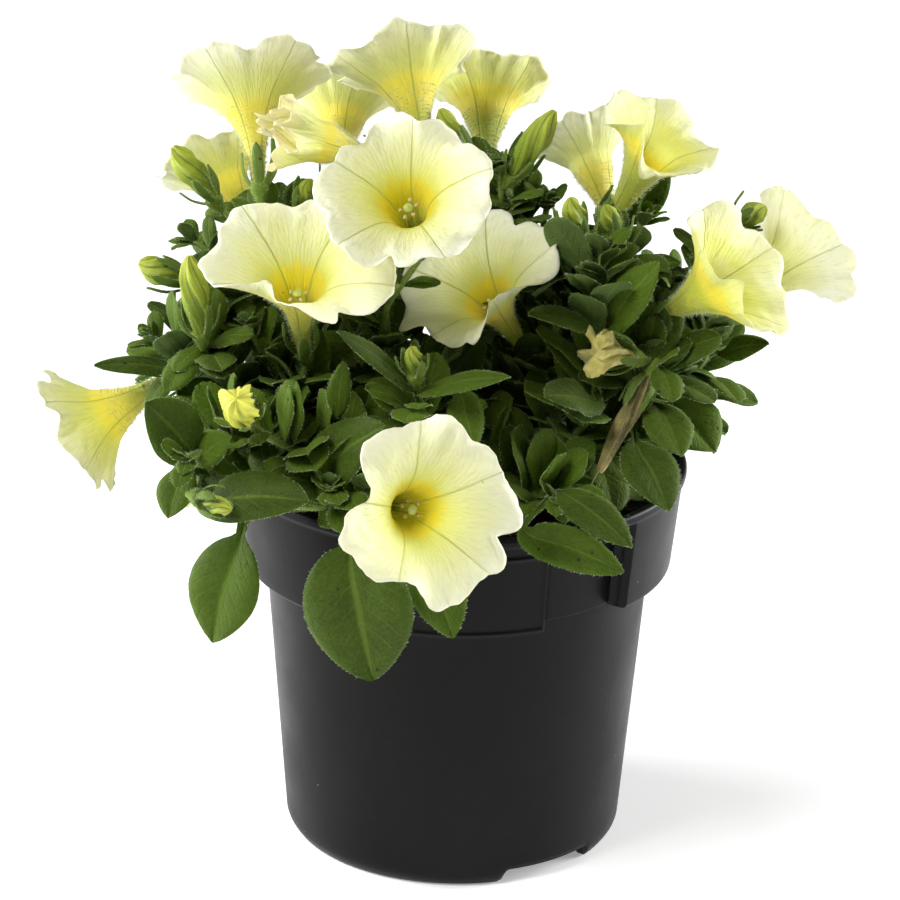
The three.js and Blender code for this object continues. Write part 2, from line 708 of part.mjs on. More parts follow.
/** The centre line of a blade, arched towards its face. */
function bladeCurve({ root, base, tip, face, arch }) {
  const start = base ?? root;
  const middle = start.clone().lerp(tip, 0.5).addScaledVector(face, arch);
  return smoothCurve(base ? [root, base, middle, tip] : [root, middle, tip]);
}

/** The point of a blade at a part of its centre line and an offset across it, and the way it faces there. */
function bladePoint(face, curve, along, offset) {
  const forward = curve.getTangent(along);
  const normal = face.clone().addScaledVector(forward, -face.dot(forward)).normalize();
  const side = new THREE.Vector3().crossVectors(forward, normal);
  const fold = radians(FOLD_ANGLE);
  const point = curve.getPoint(along)
    .addScaledVector(side, offset * Math.cos(fold))
    .addScaledVector(normal, Math.abs(offset) * Math.sin(fold));
  return { point, normal };
}

/** One leaf blade as a solid: folded along its midrib if it is broad, and flat across if it is narrow. */
function bladeSolid(leaf) {
  const curve = bladeCurve(leaf);
  const outline = leaf.base ? STALKED_OUTLINE : PLAIN_OUTLINE;
  const columns = leaf.width > FOLDED_WIDTH ? [-1, 0, 1] : [-1, 1];
  const front = [];
  const back = [];
  for (const [along, share] of outline) {
    const half = (share * leaf.width) / 2;
    const row = columns.map((across) => bladePoint(leaf.face, curve, along, across * half));
    front.push(row.map(({ point }) => point));
    back.push(row.map(({ point, normal }) => point.clone().addScaledVector(normal, -BLADE)));
  }
  return solid(sheetGeometry(front, back));
}

/** Points spread over a blade, for measuring how close other things come. */
function bladeSamples(leaf) {
  const curve = bladeCurve(leaf);
  const samples = [];
  for (const [along, share] of [[0.2, 0.5], [0.36, 0.95], [0.52, 0.95], [0.68, 0.85], [0.84, 0.5], [1, 0]]) {
    for (const across of [-1, -0.5, 0, 0.5, 1]) {
      const offset = (across * share * leaf.width) / 2;
      samples.push(bladePoint(leaf.face, curve, along, offset).point);
    }
  }
  return samples;
}

// ---------------------------------------------------------------------------
// Blooms, buds and calyces
// ---------------------------------------------------------------------------

/** How far a radius of the trumpet's outline lies out on its limb: 0 in the tube, 1 at the rim. */
function limbShare(radius) {
  return THREE.MathUtils.clamp((radius - 9) / (TRUMPET_RADIUS - 9), 0, 1);
}

/** Where a bloom's base lies. */
function bloomBase(bloom) {
  return vector(bloom.mouth).addScaledVector(vector(bloom.faces).normalize(), -TRUMPET_LENGTH);
}

/**
 * The point of a bloom at an angle round its axis, for a ring of its trumpet's outline, moved in and up.
 * The limb has five lobes with shallow notches between them, a ruffled rim, and lobes that curl.
 */
function trumpetPoint(bloom, [ringRadius, ringHeight], [inset, rise], angle) {
  const axis = vector(bloom.faces).normalize();
  const { right, up } = crossAxes(axis);
  const limb = limbShare(ringRadius);
  const lobes = 5 * (angle - radians(bloom.turn));
  const notch = (0.5 - 0.5 * Math.cos(lobes)) ** 3;
  const opening = THREE.MathUtils.clamp(ringRadius / 12, 0, 1);
  const size = THREE.MathUtils.lerp(1, bloom.radius / TRUMPET_RADIUS, opening);
  const ruffle = 0.9 * Math.cos(7 * angle + bloom.turn) + 0.5 * Math.cos(11 * angle + 2 * bloom.turn);
  let radius = (ringRadius - inset) * size * (1 - NOTCH_DEPTH * limb * notch);
  let height = ringHeight + rise + limb * limb * (Math.cos(lobes) + ruffle);
  for (const curl of bloom.curls) {
    const turned = THREE.MathUtils.euclideanModulo(angle - radians(curl.at) + Math.PI, 2 * Math.PI) - Math.PI;
    const share = limb * Math.exp(-((turned / radians(curl.spread)) ** 2));
    height += curl.lift * share;
    radius -= 0.4 * Math.abs(curl.lift) * share;
  }
  return bloomBase(bloom)
    .addScaledVector(axis, height)
    .addScaledVector(right, radius * Math.cos(angle))
    .addScaledVector(up, radius * Math.sin(angle));
}

/** How far in and up the trumpet's inner face lies from ring i: it closes at the throat's floor. */
function innerShift(rings, i) {
  const [radius, height] = rings[i];
  if (i < 2) return [radius, THROAT_FLOOR - height];
  const [radiusBefore, heightBefore] = rings[i - 1];
  const run = Math.hypot(radius - radiusBefore, height - heightBefore);
  return [(PETAL * (height - heightBefore)) / run, (PETAL * (radius - radiusBefore)) / run];
}

/** One bloom: a thin trumpet that opens into five lobes. */
function bloomSolid(bloom) {
  const { rings, turn } = bloom;
  const ring = (i, shift) => {
    const points = [];
    for (let j = 0; j < BLOOM_SIDES; j += 1) {
      const angle = radians(turn) + Math.PI / 5 + (2 * Math.PI * j) / BLOOM_SIDES;
      points.push(trumpetPoint(bloom, rings[i], shift, angle));
    }
    return points;
  };
  const outer = rings.map((_, i) => ring(i, [0, 0]));
  const inner = rings.map((_, i) => ring(i, innerShift(rings, i)));
  const closedBase = ring(0, [rings[0][0], 0]);
  return solid(sheetGeometry([closedBase, ...outer], [inner[0], ...inner], true));
}

/** One rolled bud: a spindle with twisted folds. */
function budSolid(bud) {
  const base = vector(bud.base);
  const axis = vector(bud.tip).sub(base);
  const length = axis.length();
  axis.normalize();
  const { right, up } = crossAxes(axis);
  const rows = [[0, 0], [0.5, 0.14], [1, 0.55], [0.75, 0.82], [0, 1]].map(([wide, along], i) => {
    const section = [];
    for (let j = 0; j < BUD_SIDES; j += 1) {
      const angle = (2 * Math.PI * j) / BUD_SIDES + radians(22 * i);
      const radius = bud.radius * wide * (j % 2 === 0 ? 1 : 0.76);
      section.push(base.clone()
        .addScaledVector(axis, along * length)
        .addScaledVector(right, radius * Math.cos(angle))
        .addScaledVector(up, radius * Math.sin(angle)));
    }
    return section;
  });
  return solid(new LoftGeometry(rows));
}

/** The calyx under a bloom or bud: a small cup whose wall rises into pointed sepals. */
function calyxSolid(flower) {
  const { base, axis, sepal, girth, sepals } = flower;
  const { right, up } = crossAxes(axis);
  const ring = (radiusOf, heightOf) => {
    const points = [];
    for (let j = 0; j < 2 * sepals; j += 1) {
      const angle = (Math.PI * j) / sepals;
      const radius = radiusOf(j % 2);
      points.push(base.clone()
        .addScaledVector(axis, heightOf(j % 2))
        .addScaledVector(right, radius * Math.cos(angle))
        .addScaledVector(up, radius * Math.sin(angle)));
    }
    return points;
  };
  const both = (value) => () => value;
  const tipOrGap = (tip, gap) => (isGap) => (isGap ? gap : tip);
  const outer = [
    ring(both(0), both(-6)),
    ring(both(CUP_RADIUS + SEPAL), both(-1.4)),
    ring(tipOrGap(girth + SEPAL_LEAN, CUP_RADIUS + 0.3 + SEPAL), tipOrGap(sepal, 1)),
  ];
  const inner = [
    ring(both(0), both(-GAP)),
    ring(both(CUP_RADIUS), both(-GAP)),
    ring(tipOrGap(girth + SEPAL_LEAN - SEPAL, CUP_RADIUS + 0.3), tipOrGap(sepal, 1)),
  ];
  return solid(sheetGeometry(outer, inner, true));
}

// ---------------------------------------------------------------------------
// Growth: stems, stalks and where leaves find room
// ---------------------------------------------------------------------------

/** The line of a stem: straight up out of the soil, and on to the flower that it ends in, if any. */
function stemCurve(stem, flowers) {
  const [x, y] = stem.foot;
  const points = STEM_RISES.map((rise) => new THREE.Vector3(x, y, STEM_FOOT + rise));
  points.push(...stem.path.map(vector));
  const flower = flowers.find(({ name }) => name === stem.ends);
  if (flower) points.push(stalkEnd(flower));
  return smoothCurve(points);
}

/** Where a stem's tube has its rings: at its foot, where it leaves the soil, and evenly to its end. */
function stemStations(curve) {
  const exit = (STEM_RISES.length - 1) / (curve.points.length - 1);
  return [0, ...evenly(exit, 1, STEM_STEPS)];
}

/** The point of a stem's tube at a part of its curve, on the straight line between the rings beside it. */
function stemPoint({ curve, stations }, at) {
  const next = Math.max(1, stations.findIndex((station) => station >= at));
  const share = (at - stations[next - 1]) / (stations[next] - stations[next - 1]);
  return curve.getPoint(stations[next - 1]).lerp(curve.getPoint(stations[next]), share);
}

/** The point of a stem that lies nearest to a place. */
function nearestOnStem(shoot, place) {
  const candidates = evenly(LOWEST_ROOT, HIGHEST_ROOT, ROOT_STEPS).map((at) => stemPoint(shoot, at));
  const distance = (point) => point.distanceToSquared(place);
  return candidates.reduce((best, point) => (distance(point) < distance(best) ? point : best));
}

/** Everything that flowers on the plant, as base, axis and calyx size. */
function flowering() {
  const blooms = BLOOMS.map((bloom) => {
    const axis = vector(bloom.faces).normalize();
    return { ...bloom, base: bloomBase(bloom), axis, sepal: SEPAL_LENGTH, girth: 2, sepals: 5 };
  });
  const buds = [...BUDS, ...DRIED].map((bud) => {
    const base = vector(bud.base);
    const axis = vector(bud.tip).sub(base);
    const sepal = Math.min(0.7 * axis.length(), 10);
    return { ...bud, base, axis: axis.normalize(), sepal, girth: bud.radius * 0.75, sepals: 4 };
  });
  return [...blooms, ...buds];
}

/** Where the stalk under a flower ends, inside its calyx. */
function stalkEnd(flower) {
  return flower.base.clone().addScaledVector(flower.axis, -4);
}

/** The points of the stalk from a stem to a flower, or none where the stem itself ends in the flower. */
function stalkPoints(flower, shoot) {
  if (flower.at === undefined) return [];
  return [stemPoint(shoot, flower.at), ...flower.via.map(vector), stalkEnd(flower)];
}

/** One hand-placed leaf as the growth rule keeps it. */
function placedLeaf(spec, shoot) {
  const base = vector(spec.base);
  const tip = vector(spec.tip);
  const face = vector(spec.face).normalize();
  const root = nearestOnStem(shoot, base);
  return { root, base, tip, face, arch: 0.06 * base.distanceTo(tip), width: spec.width };
}

/** Whether every point keeps its distance from all the others, and from the pot and the soil. */
function hasRoom(samples, obstacles, owner) {
  return samples.every((point, i) => {
    const radius = Math.hypot(point.x, point.y);
    const insidePot = radius < BAND_TOP_RADIUS - WALL_CLEARANCE && point.z > SOIL_TOP + SOIL_CLEARANCE;
    const aboveRim = point.z > POT_HEIGHT + RIM_CLEARANCE;
    if (!insidePot && !aboveRim) return false;
    return obstacles.every((obstacle) => {
      if (obstacle.owner === owner && (i < 10 || obstacle.isStem)) return true;
      const reach = LEAF_SPACING + obstacle.extra;
      return point.distanceToSquared(obstacle.point) > reach * reach;
    });
  });
}

/** Whether a point lies in the rounded space that the plant fills. */
function insidePlant(point) {
  return point.clone().sub(vector(PLANT_CENTRE)).divide(vector(PLANT_RADII)).length() < 1;
}

/** One leaf that the growth rule proposes at a part of a stem. */
function proposedLeaf(shoot, at, turn, lean, length, random) {
  const root = stemPoint(shoot, at);
  const forward = shoot.curve.getTangent(at);
  const { right, up } = crossAxes(forward);
  const leafTurn = turn + (random() - 0.5) * 1.2;
  const leafLean = lean + (random() - 0.5) * 0.4;
  const size = length * (0.85 + 0.3 * random());
  const outward = right.multiplyScalar(Math.cos(leafTurn)).addScaledVector(up, Math.sin(leafTurn));
  const along = forward.clone()
    .multiplyScalar(Math.cos(leafLean))
    .addScaledVector(outward, Math.sin(leafLean));
  const face = forward.clone().multiplyScalar(0.6).addScaledVector(UP, 0.7).normalize();
  const tip = root.clone().addScaledVector(along, size);
  tip.z -= 0.08 * size;
  return { root, tip, face, arch: 0.1 * size, width: size * (0.44 + 0.16 * random()) };
}

/** The whole plant's layout: each stem with its curve, stalks and leaves. */
function growPlant() {
  const flowers = flowering();
  const shoots = STEMS.map((stem) => {
    const curve = stemCurve(stem, flowers);
    return { stem, curve, stations: stemStations(curve), leaves: [], stalks: [] };
  });
  const obstacles = [];
  const avoid = (points, owner, extra, isStem) => {
    for (const point of points) obstacles.push({ point, owner, extra, isStem });
  };
  for (const shoot of shoots) {
    avoid(shoot.curve.getPoints(30), shoot.stem.name, -1, true);
    for (const flower of flowers.filter(({ stem }) => stem === shoot.stem.name)) {
      const points = stalkPoints(flower, shoot);
      if (points.length > 0) {
        const stalk = smoothCurve(points);
        shoot.stalks.push(stalk);
        avoid(stalk.getPoints(12), shoot.stem.name, -1.5, true);
      }
      const calyx = [-3, 3, 9].map((along) => flower.base.clone().addScaledVector(flower.axis, along));
      avoid(calyx, 'calyx', 1.5, false);
    }
    for (const spec of shoot.stem.leaves) {
      const leaf = placedLeaf(spec, shoot);
      shoot.leaves.push(leaf);
      avoid(bladeSamples(leaf), shoot.stem.name, 0, false);
    }
  }
  for (const bloom of BLOOMS) {
    for (const ring of bloom.rings.slice(1)) {
      for (let j = 0; j < 15; j += 1) {
        avoid([trumpetPoint(bloom, ring, [0, 0], (2 * Math.PI * j) / 15)], bloom.name, 0.5, false);
      }
    }
    const front = vector(bloom.mouth).addScaledVector(vector(bloom.faces).normalize(), 0.7 * bloom.radius);
    avoid([front], bloom.name, 0.75 * bloom.radius, false);
  }
  for (const bud of [...BUDS, ...DRIED]) {
    const line = [0, 0.5, 1].map((along) => vector(bud.base).lerp(vector(bud.tip), along));
    avoid(line, bud.name, bud.radius - 1, false);
  }
  shoots.forEach((shoot, index) => {
    const random = randomStream(101 + 17 * index);
    const { fill, tuft } = shoot.stem;
    const start = 3.3 / (shoot.curve.points.length - 1);
    const tryLeaf = (at, turn, lean, length) => {
      for (let attempt = 0; attempt < LEAF_ATTEMPTS; attempt += 1) {
        const leaf = proposedLeaf(shoot, at, turn + 0.8 * attempt, lean, length, random);
        const samples = bladeSamples(leaf);
        if (insidePlant(leaf.tip) && hasRoom(samples, obstacles, shoot.stem.name)) {
          shoot.leaves.push(leaf);
          avoid(samples, shoot.stem.name, 0, false);
          return;
        }
      }
    };
    for (let i = 0; i < fill; i += 1) {
      const along = (i + 0.5) / fill;
      const at = THREE.MathUtils.lerp(start, tuft > 0 ? 0.94 : 0.86, along);
      tryLeaf(at, 2.4 * i, 1.15 - 0.25 * along, THREE.MathUtils.lerp(LOWEST_LEAF, HIGHEST_LEAF, along));
    }
    for (let i = 0; i < tuft; i += 1) tryLeaf(0.985, (2 * Math.PI * i) / tuft, 0.75, TUFT_LEAF);
  });
  return shoots;
}

/** One leafy stem with its stalks, calyces and leaves, joined into one body. */
function shootSolid(shoot, flowers) {
  const { curve, stations, stem } = shoot;
  let body = tube(curve, stations, STEM_RADIUS, STALK_RADIUS, STEM_SIDES);
  const pieces = [
    ...shoot.stalks.map((stalk) => tube(stalk, evenly(0, 1, 3), STALK_RADIUS, STALK_RADIUS, STALK_SIDES)),
    ...flowers.filter((flower) => flower.stem === stem.name).map(calyxSolid),
    ...shoot.leaves.map(bladeSolid),
  ];
  for (const piece of pieces) body = body.add(piece);
  return body;
}

// ---------------------------------------------------------------------------
// Materials
// ---------------------------------------------------------------------------

const finish = (color, roughness) => new THREE.MeshStandardMaterial({ color, roughness, metalness: 0 });

const potPlastic = () => finish(0x2a2a2d, 0.42);
const pottingSoil = () => finish(0x1c1410, 0.95);
const leafGreen = () => finish(0x3f6a2b, 0.6);
const petalCream = () => finish(0xf1eeb4, 0.55);
const budYellow = () => finish(0xc9c64a, 0.6);
const driedPetal = () => finish(0xb79b62, 0.8);

// ---------------------------------------------------------------------------
// The potted petunia
// ---------------------------------------------------------------------------

function pottedPetunia() {
  const whole = new THREE.Group();
  const flowers = flowering();
  whole.add(namedMesh('pot', potSolid(), potPlastic()));
  whole.add(namedMesh('soil', soilSolid(), pottingSoil()));
  const plant = new THREE.Group();
  for (const shoot of growPlant()) {
    plant.add(namedMesh(shoot.stem.name, shootSolid(shoot, flowers), leafGreen()));
  }
  for (const bloom of BLOOMS) plant.add(namedMesh(bloom.name, bloomSolid(bloom), petalCream()));
  for (const bud of BUDS) plant.add(namedMesh(bud.name, budSolid(bud), budYellow()));
  for (const bud of DRIED) plant.add(namedMesh(bud.name, budSolid(bud), driedPetal()));
  whole.add(plant);
  return whole;
}

export default pottedPetunia();
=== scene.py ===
"""A potted petunia with pale yellow blooms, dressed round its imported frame.

Lengths are in millimetres, and the pot's rim is taken as 140. Meshes are made in metres.
+Z is up, and -Y is the side that faces the camera.
"""

from __future__ import annotations

import logging
import math
from dataclasses import dataclass, field, replace
from enum import Enum
from typing import TypeAlias

import bmesh
import bpy
import numpy as np
from mathutils import Matrix, Vector

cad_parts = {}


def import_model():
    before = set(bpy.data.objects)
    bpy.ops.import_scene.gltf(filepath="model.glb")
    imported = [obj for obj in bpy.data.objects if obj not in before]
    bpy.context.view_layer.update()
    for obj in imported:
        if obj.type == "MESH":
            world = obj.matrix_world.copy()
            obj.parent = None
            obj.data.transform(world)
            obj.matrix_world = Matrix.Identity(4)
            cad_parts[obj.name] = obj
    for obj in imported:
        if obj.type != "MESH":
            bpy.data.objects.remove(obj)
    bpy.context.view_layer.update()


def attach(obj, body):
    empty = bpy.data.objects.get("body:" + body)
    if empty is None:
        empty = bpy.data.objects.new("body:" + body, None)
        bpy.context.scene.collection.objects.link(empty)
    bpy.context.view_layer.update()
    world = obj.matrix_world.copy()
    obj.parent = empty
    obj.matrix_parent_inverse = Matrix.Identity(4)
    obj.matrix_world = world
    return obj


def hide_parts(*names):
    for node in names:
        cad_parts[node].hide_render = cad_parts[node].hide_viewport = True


log = logging.getLogger("potted_petunia")

MM = 0.001
Array = np.ndarray
Point = tuple[float, float, float]
UP = np.array([0.0, 0.0, 1.0])

# ---- Driving dimensions of the pot, the soil and the plant, in millimetres ----

POT_HEIGHT = 122.0
LIP_RADIUS = 70.0
BAND_TOP_RADIUS = 68.9
BAND_FOOT_RADIUS = 66.0
BAND_FOOT_HEIGHT = 89.5
BODY_TOP_RADIUS = 59.4
BODY_FOOT_RADIUS = 52.5
BODY_FOOT_HEIGHT = 3.4
FOOT_RADIUS = 50.5
WALL = 1.4
SOIL_TOP = 110.0

STEM_FOOT = 104.0
STEM_RISES = (0.0, 4.0, 8.0, 12.0)
STEM_RADIUS = 1.4
STALK_RADIUS = 0.9
STEM_STEPS = 5

# The room test of the growth rule folds a blade by the first angle, as the solids do. The finer blades of
# this scene are folded by the second.
FOLD_ANGLE = math.radians(18)
BLADE_FOLD = math.radians(14)
FULL_FOLD_WIDTH = 18.0
BLADE_PITCH = 1.5
BLADE_ROWS = (9, 34)
BLADE_COLUMNS = (5, 19)
STEM_SEED = 4000
BLOOM_SEED = 7000
BUD_SEED = 9000
DRIED_SEED = 9500
SOIL_SEED = 5
RULE_SEEDS = (101, 17)
YOUNG_SEEDS = (1009, 31)
RULE_LEAN = 1.15
RULE_LEAN_FALL = 0.25
YOUNG_LEAN = 1.05
YOUNG_LEAN_FALL = 0.3
TWIG_LEAN = 0.9
TWIG_SPAN = (0.1, 0.85)
ROSETTE_SPAN = (0.995, 0.955)
TURN_CHANCE = 1.2
LEAN_CHANCE = 0.4
LEAF_DROOP = 0.08
LEAF_ARCH = 0.1
LAYOUT_ARCH = 0.06
STEM_SAMPLES = 31
STALK_SAMPLES = 13
CALYX_SAMPLES = (-3.0, 3.0, 9.0)
CALYX_DEPTH = 4
BLOOM_SAMPLES = 15
SWEPT_CAP = 0.2
BARE_POINTS = 3.3
TUFTED_END = 0.94
FLOWERING_END = 0.86
YOUNG_END = 0.92
TUFT_PLACE = 0.985
TUFT_LEAN = 0.75
RETRY_TURN = 0.8
YOUNG_TURN = 2.1
BRACT_PLACE = 0.93
BRACT_LEAN = 0.85
TWIG_SAG = 0.08
LEAF_SPACING = 4.6
LEAF_ATTEMPTS = 10
LOWEST_LEAF = 29.0
HIGHEST_LEAF = 19.0
TUFT_LEAF = 13.0
LOWEST_ROOT = 0.3
HIGHEST_ROOT = 0.96
ROOT_STEPS = 132
WALL_CLEARANCE = 7.0
SOIL_CLEARANCE = 4.0
RIM_CLEARANCE = 2.5
YOUNG_LEAVES = 18
YOUNG_SPACING = 1.3
YOUNG_SIZES = (35.0, 19.0)
TWIG_LEAVES = 7
TWIG_SIZES = (27.0, 14.0)
TWIG_SPACING = 0.9
ON_STALK = -1.0
MOUTH_CLEARANCES = (0.45, 1.0, 1.6)
MOUTH_SHARE = 0.95
ROSETTE_LEAVES = 11
ROSETTE_SIZES = (4.5, 10.5)
BRACT_SIZE = 13.0
GOLDEN_TURN = 2.4
PLANT_CENTRE = np.array([-8.0, 0.0, 132.0])
PLANT_RADII = np.array([100.0, 88.0, 92.0])

TRUMPET_LENGTH = 38.0
TRUMPET_RADIUS = 28.0
THROAT_RADIUS = 9.0
NOTCH_DEPTH = 0.1
HEART_RADIUS = 7.0
STYLE_RADIUS = 0.45
STIGMA_SIZE = (1.5, 1.9)
THREAD_RADIUS = 0.22
ANTHER_SIZE = (0.62, 1.5)
KNOB_ROWS = 7
KNOB_SIDES = 10
SEPAL_LENGTH = 12.0
SEPAL_LEAN = 3.0
SEPAL_WIDTHS = (2.6, 3.3)

# The calyx's cup, as radii and heights over the flower's base.
CUP_OUTLINE = ((0.9, -5.6), (1.3, -4.0), (2.1, -2.4), (2.7, -1.2), (2.9, -0.2), (2.7, 0.8))
CUP_SPAN = 6
CUP_SIDES = 16

FLAT_TRUMPET = ((1.7, 0.0), (4.4, 19.0), (10.0, 30.0), (18.5, 35.5), (28.0, 38.0))
CONE_TRUMPET = ((1.7, 0.0), (4.2, 16.0), (12.0, 27.5), (28.0, 38.0))

# ---- The plant's layout ----


@dataclass(frozen=True)
class LeafPlace:
    """One of the layout's leaves: from its base to its tip, its width and the way its face looks."""

    base: Point
    tip: Point
    width: float
    face: Point


@dataclass(frozen=True)
class StemPlace:
    """One stem: its foot in the soil, its path, its leaves, and how many more grow by rule."""

    name: str
    foot: tuple[float, float]
    path: tuple[Point, ...]
    leaves: tuple[LeafPlace, ...] = ()
    ends: str = ""
    fill: int = 0
    tuft: int = 0


@dataclass(frozen=True)
class TwigPlace:
    """One short leafy side shoot: the stem that it grows on, from which part of it, and where it ends."""

    stem: str
    at: float
    tip: Point


@dataclass(frozen=True)
class Curl:
    """A lobe that lifts or drops: lift in millimetres at an angle, spread in degrees."""

    at: float
    lift: float
    spread: float


@dataclass(frozen=True)
class BloomPlace:
    """One open bloom: centre of its mouth, the way it faces, its radius and how its lobes are turned."""

    name: str
    stem: str
    mouth: Point
    faces: Point
    radius: float
    turn: float
    rings: tuple[tuple[float, float], ...]
    curls: tuple[Curl, ...] = ()
    at: float = -1.0
    via: tuple[Point, ...] = ()

    @property
    def axis(self) -> Array:
        """The way that it faces, at length 1."""
        return unit(np.array(self.faces, float))


@dataclass(frozen=True)
class BudPlace:
    """One bud or dried bloom: from its base to its tip, and its radius."""

    name: str
    stem: str
    base: Point
    tip: Point
    radius: float
    at: float = -1.0
    via: tuple[Point, ...] = ()


STEMS = (
    StemPlace(
        "stem_front", foot=(-6, -24),
        path=((-14, -44, 124), (-22, -60, 131)),
        leaves=(
            LeafPlace((-31, -80, 122), (-24, -86, 84), 34, (-0.2, -1, 0.1)),
            LeafPlace((-10, -74, 124), (-1, -84, 97), 18, (0, -1, 0.2)),
        ),
        ends="bloom_front", fill=3,
    ),
    StemPlace(
        "stem_front_left", foot=(-20, -20),
        path=((-30, -50, 127), (-40, -68, 131), (-58, -64, 131), (-76, -58, 136)),
        leaves=(
            LeafPlace((-73, -74, 135), (-43, -88, 141), 19, (0.1, -0.6, 0.8)),
            LeafPlace((-64, -66, 119), (-72, -70, 88), 24, (-0.5, -0.9, 0.1)),
        ),
        fill=4,
    ),
    StemPlace(
        "stem_left_low", foot=(-22, -12),
        path=((-50, -36, 133), (-68, -50, 145), (-82, -60, 152)),
        leaves=(
            LeafPlace((-77, -68, 147), (-90, -78, 166), 18, (0.3, -0.8, 0.4)),
            LeafPlace((-80, -66, 142), (-84, -77, 130), 12, (-0.3, -0.9, 0.3)),
            LeafPlace((-77, -67, 145), (-66, -72, 154), 10, (0, -0.8, 0.6)),
        ),
        fill=5, tuft=4,
    ),
    StemPlace(
        "stem_left", foot=(-24, 2),
        path=((-45, -13, 133), (-68, -22, 150), (-84, -26, 161), (-92, -28, 168)),
        leaves=(
            LeafPlace((-84, -28, 158), (-109, -34, 161), 9, (0, -0.4, 0.9)),
            LeafPlace((-86, -29, 158), (-94, -34, 146), 8, (-0.6, -0.6, 0.3)),
        ),
        fill=8, tuft=5,
    ),
    StemPlace(
        "stem_yellow_bud", foot=(-12, -14),
        path=((-30, -40, 132), (-52, -62, 148)),
        leaves=(
            LeafPlace((-46, -62, 135), (-22, -76, 160), 20, (-0.2, -0.7, 0.7)),
            LeafPlace((-37, -60, 156), (-34, -62, 174), 7, (0.1, -1, 0.2)),
        ),
        ends="bud_yellow", fill=5,
    ),
    StemPlace(
        "stem_centre", foot=(4, -16),
        path=((-4, -36, 133), (-10, -50, 148)),
        leaves=(
            LeafPlace((-14, -60, 165), (-36, -70, 186), 8, (0.3, -0.5, 0.8)),
            LeafPlace((-12, -60, 164), (14, -72, 174), 9, (0, -0.4, 0.9)),
            LeafPlace((-1, -56, 163), (4, -68, 150), 11, (0.2, -0.7, 0.6)),
        ),
        ends="bud_centre", fill=6, tuft=3,
    ),
    StemPlace(
        "stem_left_bloom", foot=(-18, -4),
        path=((-38, -22, 134), (-47, -29, 148)),
        ends="bloom_left", fill=7,
    ),
    StemPlace(
        "stem_crown", foot=(-4, -4),
        path=((-12, -12, 140), (-24, -20, 170)),
        ends="bloom_crown", fill=7,
    ),
    StemPlace(
        "stem_middle", foot=(10, -10),
        path=((14, -10, 130), (21, -6, 144)),
        ends="bloom_middle", fill=5,
    ),
    StemPlace(
        "stem_right_centre", foot=(20, -8),
        path=((32, -24, 134), (40, -30, 154), (40, -26, 180), (41, -24, 197)),
        leaves=(
            LeafPlace((40, -42, 156), (24, -57, 163), 15, (-0.2, -0.6, 0.8)),
            LeafPlace((38, -31, 176), (19, -46, 184), 12, (-0.2, -0.5, 0.9)),
            LeafPlace((42, -30, 174), (57, -37, 198), 13, (-0.2, -0.7, 0.6)),
        ),
        fill=9, tuft=4,
    ),
    StemPlace(
        "stem_right_bloom", foot=(22, 2),
        path=((38, -14, 130), (48, -24, 144), (54, -22, 156)),
        leaves=(
            LeafPlace((52, -42, 143), (61, -66, 131), 17, (0.1, -0.6, 0.8)),
            LeafPlace((58, -34, 152), (65, -52, 143), 15, (0.2, -0.7, 0.7)),
            LeafPlace((60, -24, 150), (76, -38, 139), 24, (0.4, -0.6, 0.7)),
        ),
        ends="bloom_right", fill=5,
    ),
    StemPlace(
        "stem_far_right", foot=(24, 12),
        path=((48, 8, 130), (68, 0, 148), (75, 0, 158)),
        leaves=(
            LeafPlace((78, -10, 161), (92, -16, 166), 10, (0.2, -0.5, 0.8)),
        ),
        ends="bloom_far_right", fill=8,
    ),
    StemPlace(
        "stem_right_low", foot=(14, -22),
        path=((20, -38, 122), (25, -48, 128), (28, -56, 131)),
        leaves=(
            LeafPlace((30, -60, 134), (50, -82, 126), 13, (0, -0.5, 0.9)),
            LeafPlace((19, -73, 127), (48, -84, 119), 13, (0, -0.8, 0.6)),
        ),
        fill=4,
    ),
    StemPlace(
        "stem_right_top_bloom", foot=(16, 4),
        path=((28, 4, 145), (36, 8, 170)),
        leaves=(
            LeafPlace((50, 14, 194), (61, 13, 214), 13, (0, -0.9, 0.4)),
        ),
        ends="bloom_right_top", fill=7,
    ),
    StemPlace(
        "stem_back_right", foot=(12, 12),
        path=((18, 16, 145), (14, 16, 175)),
        ends="bloom_top_right", fill=8,
    ),
    StemPlace(
        "stem_back", foot=(-2, 14),
        path=((-8, 18, 150), (-10, 10, 185)),
        ends="bloom_top", fill=7,
    ),
    StemPlace(
        "stem_back_left", foot=(-16, 12),
        path=((-34, 10, 138), (-52, 6, 165), (-58, 0, 188)),
        ends="bloom_top_left", fill=8,
    ),
    StemPlace(
        "stem_behind", foot=(2, 24),
        path=((6, 40, 132), (10, 54, 155), (10, 56, 178)),
        fill=8, tuft=4,
    ),
    StemPlace(
        "stem_behind_left", foot=(-14, 22),
        path=((-30, 38, 133), (-46, 50, 152), (-52, 52, 172)),
        fill=8, tuft=4,
    ),
    StemPlace(
        "stem_behind_right", foot=(20, 22),
        path=((38, 36, 132), (58, 42, 150), (68, 36, 168)),
        fill=8, tuft=4,
    ),
)

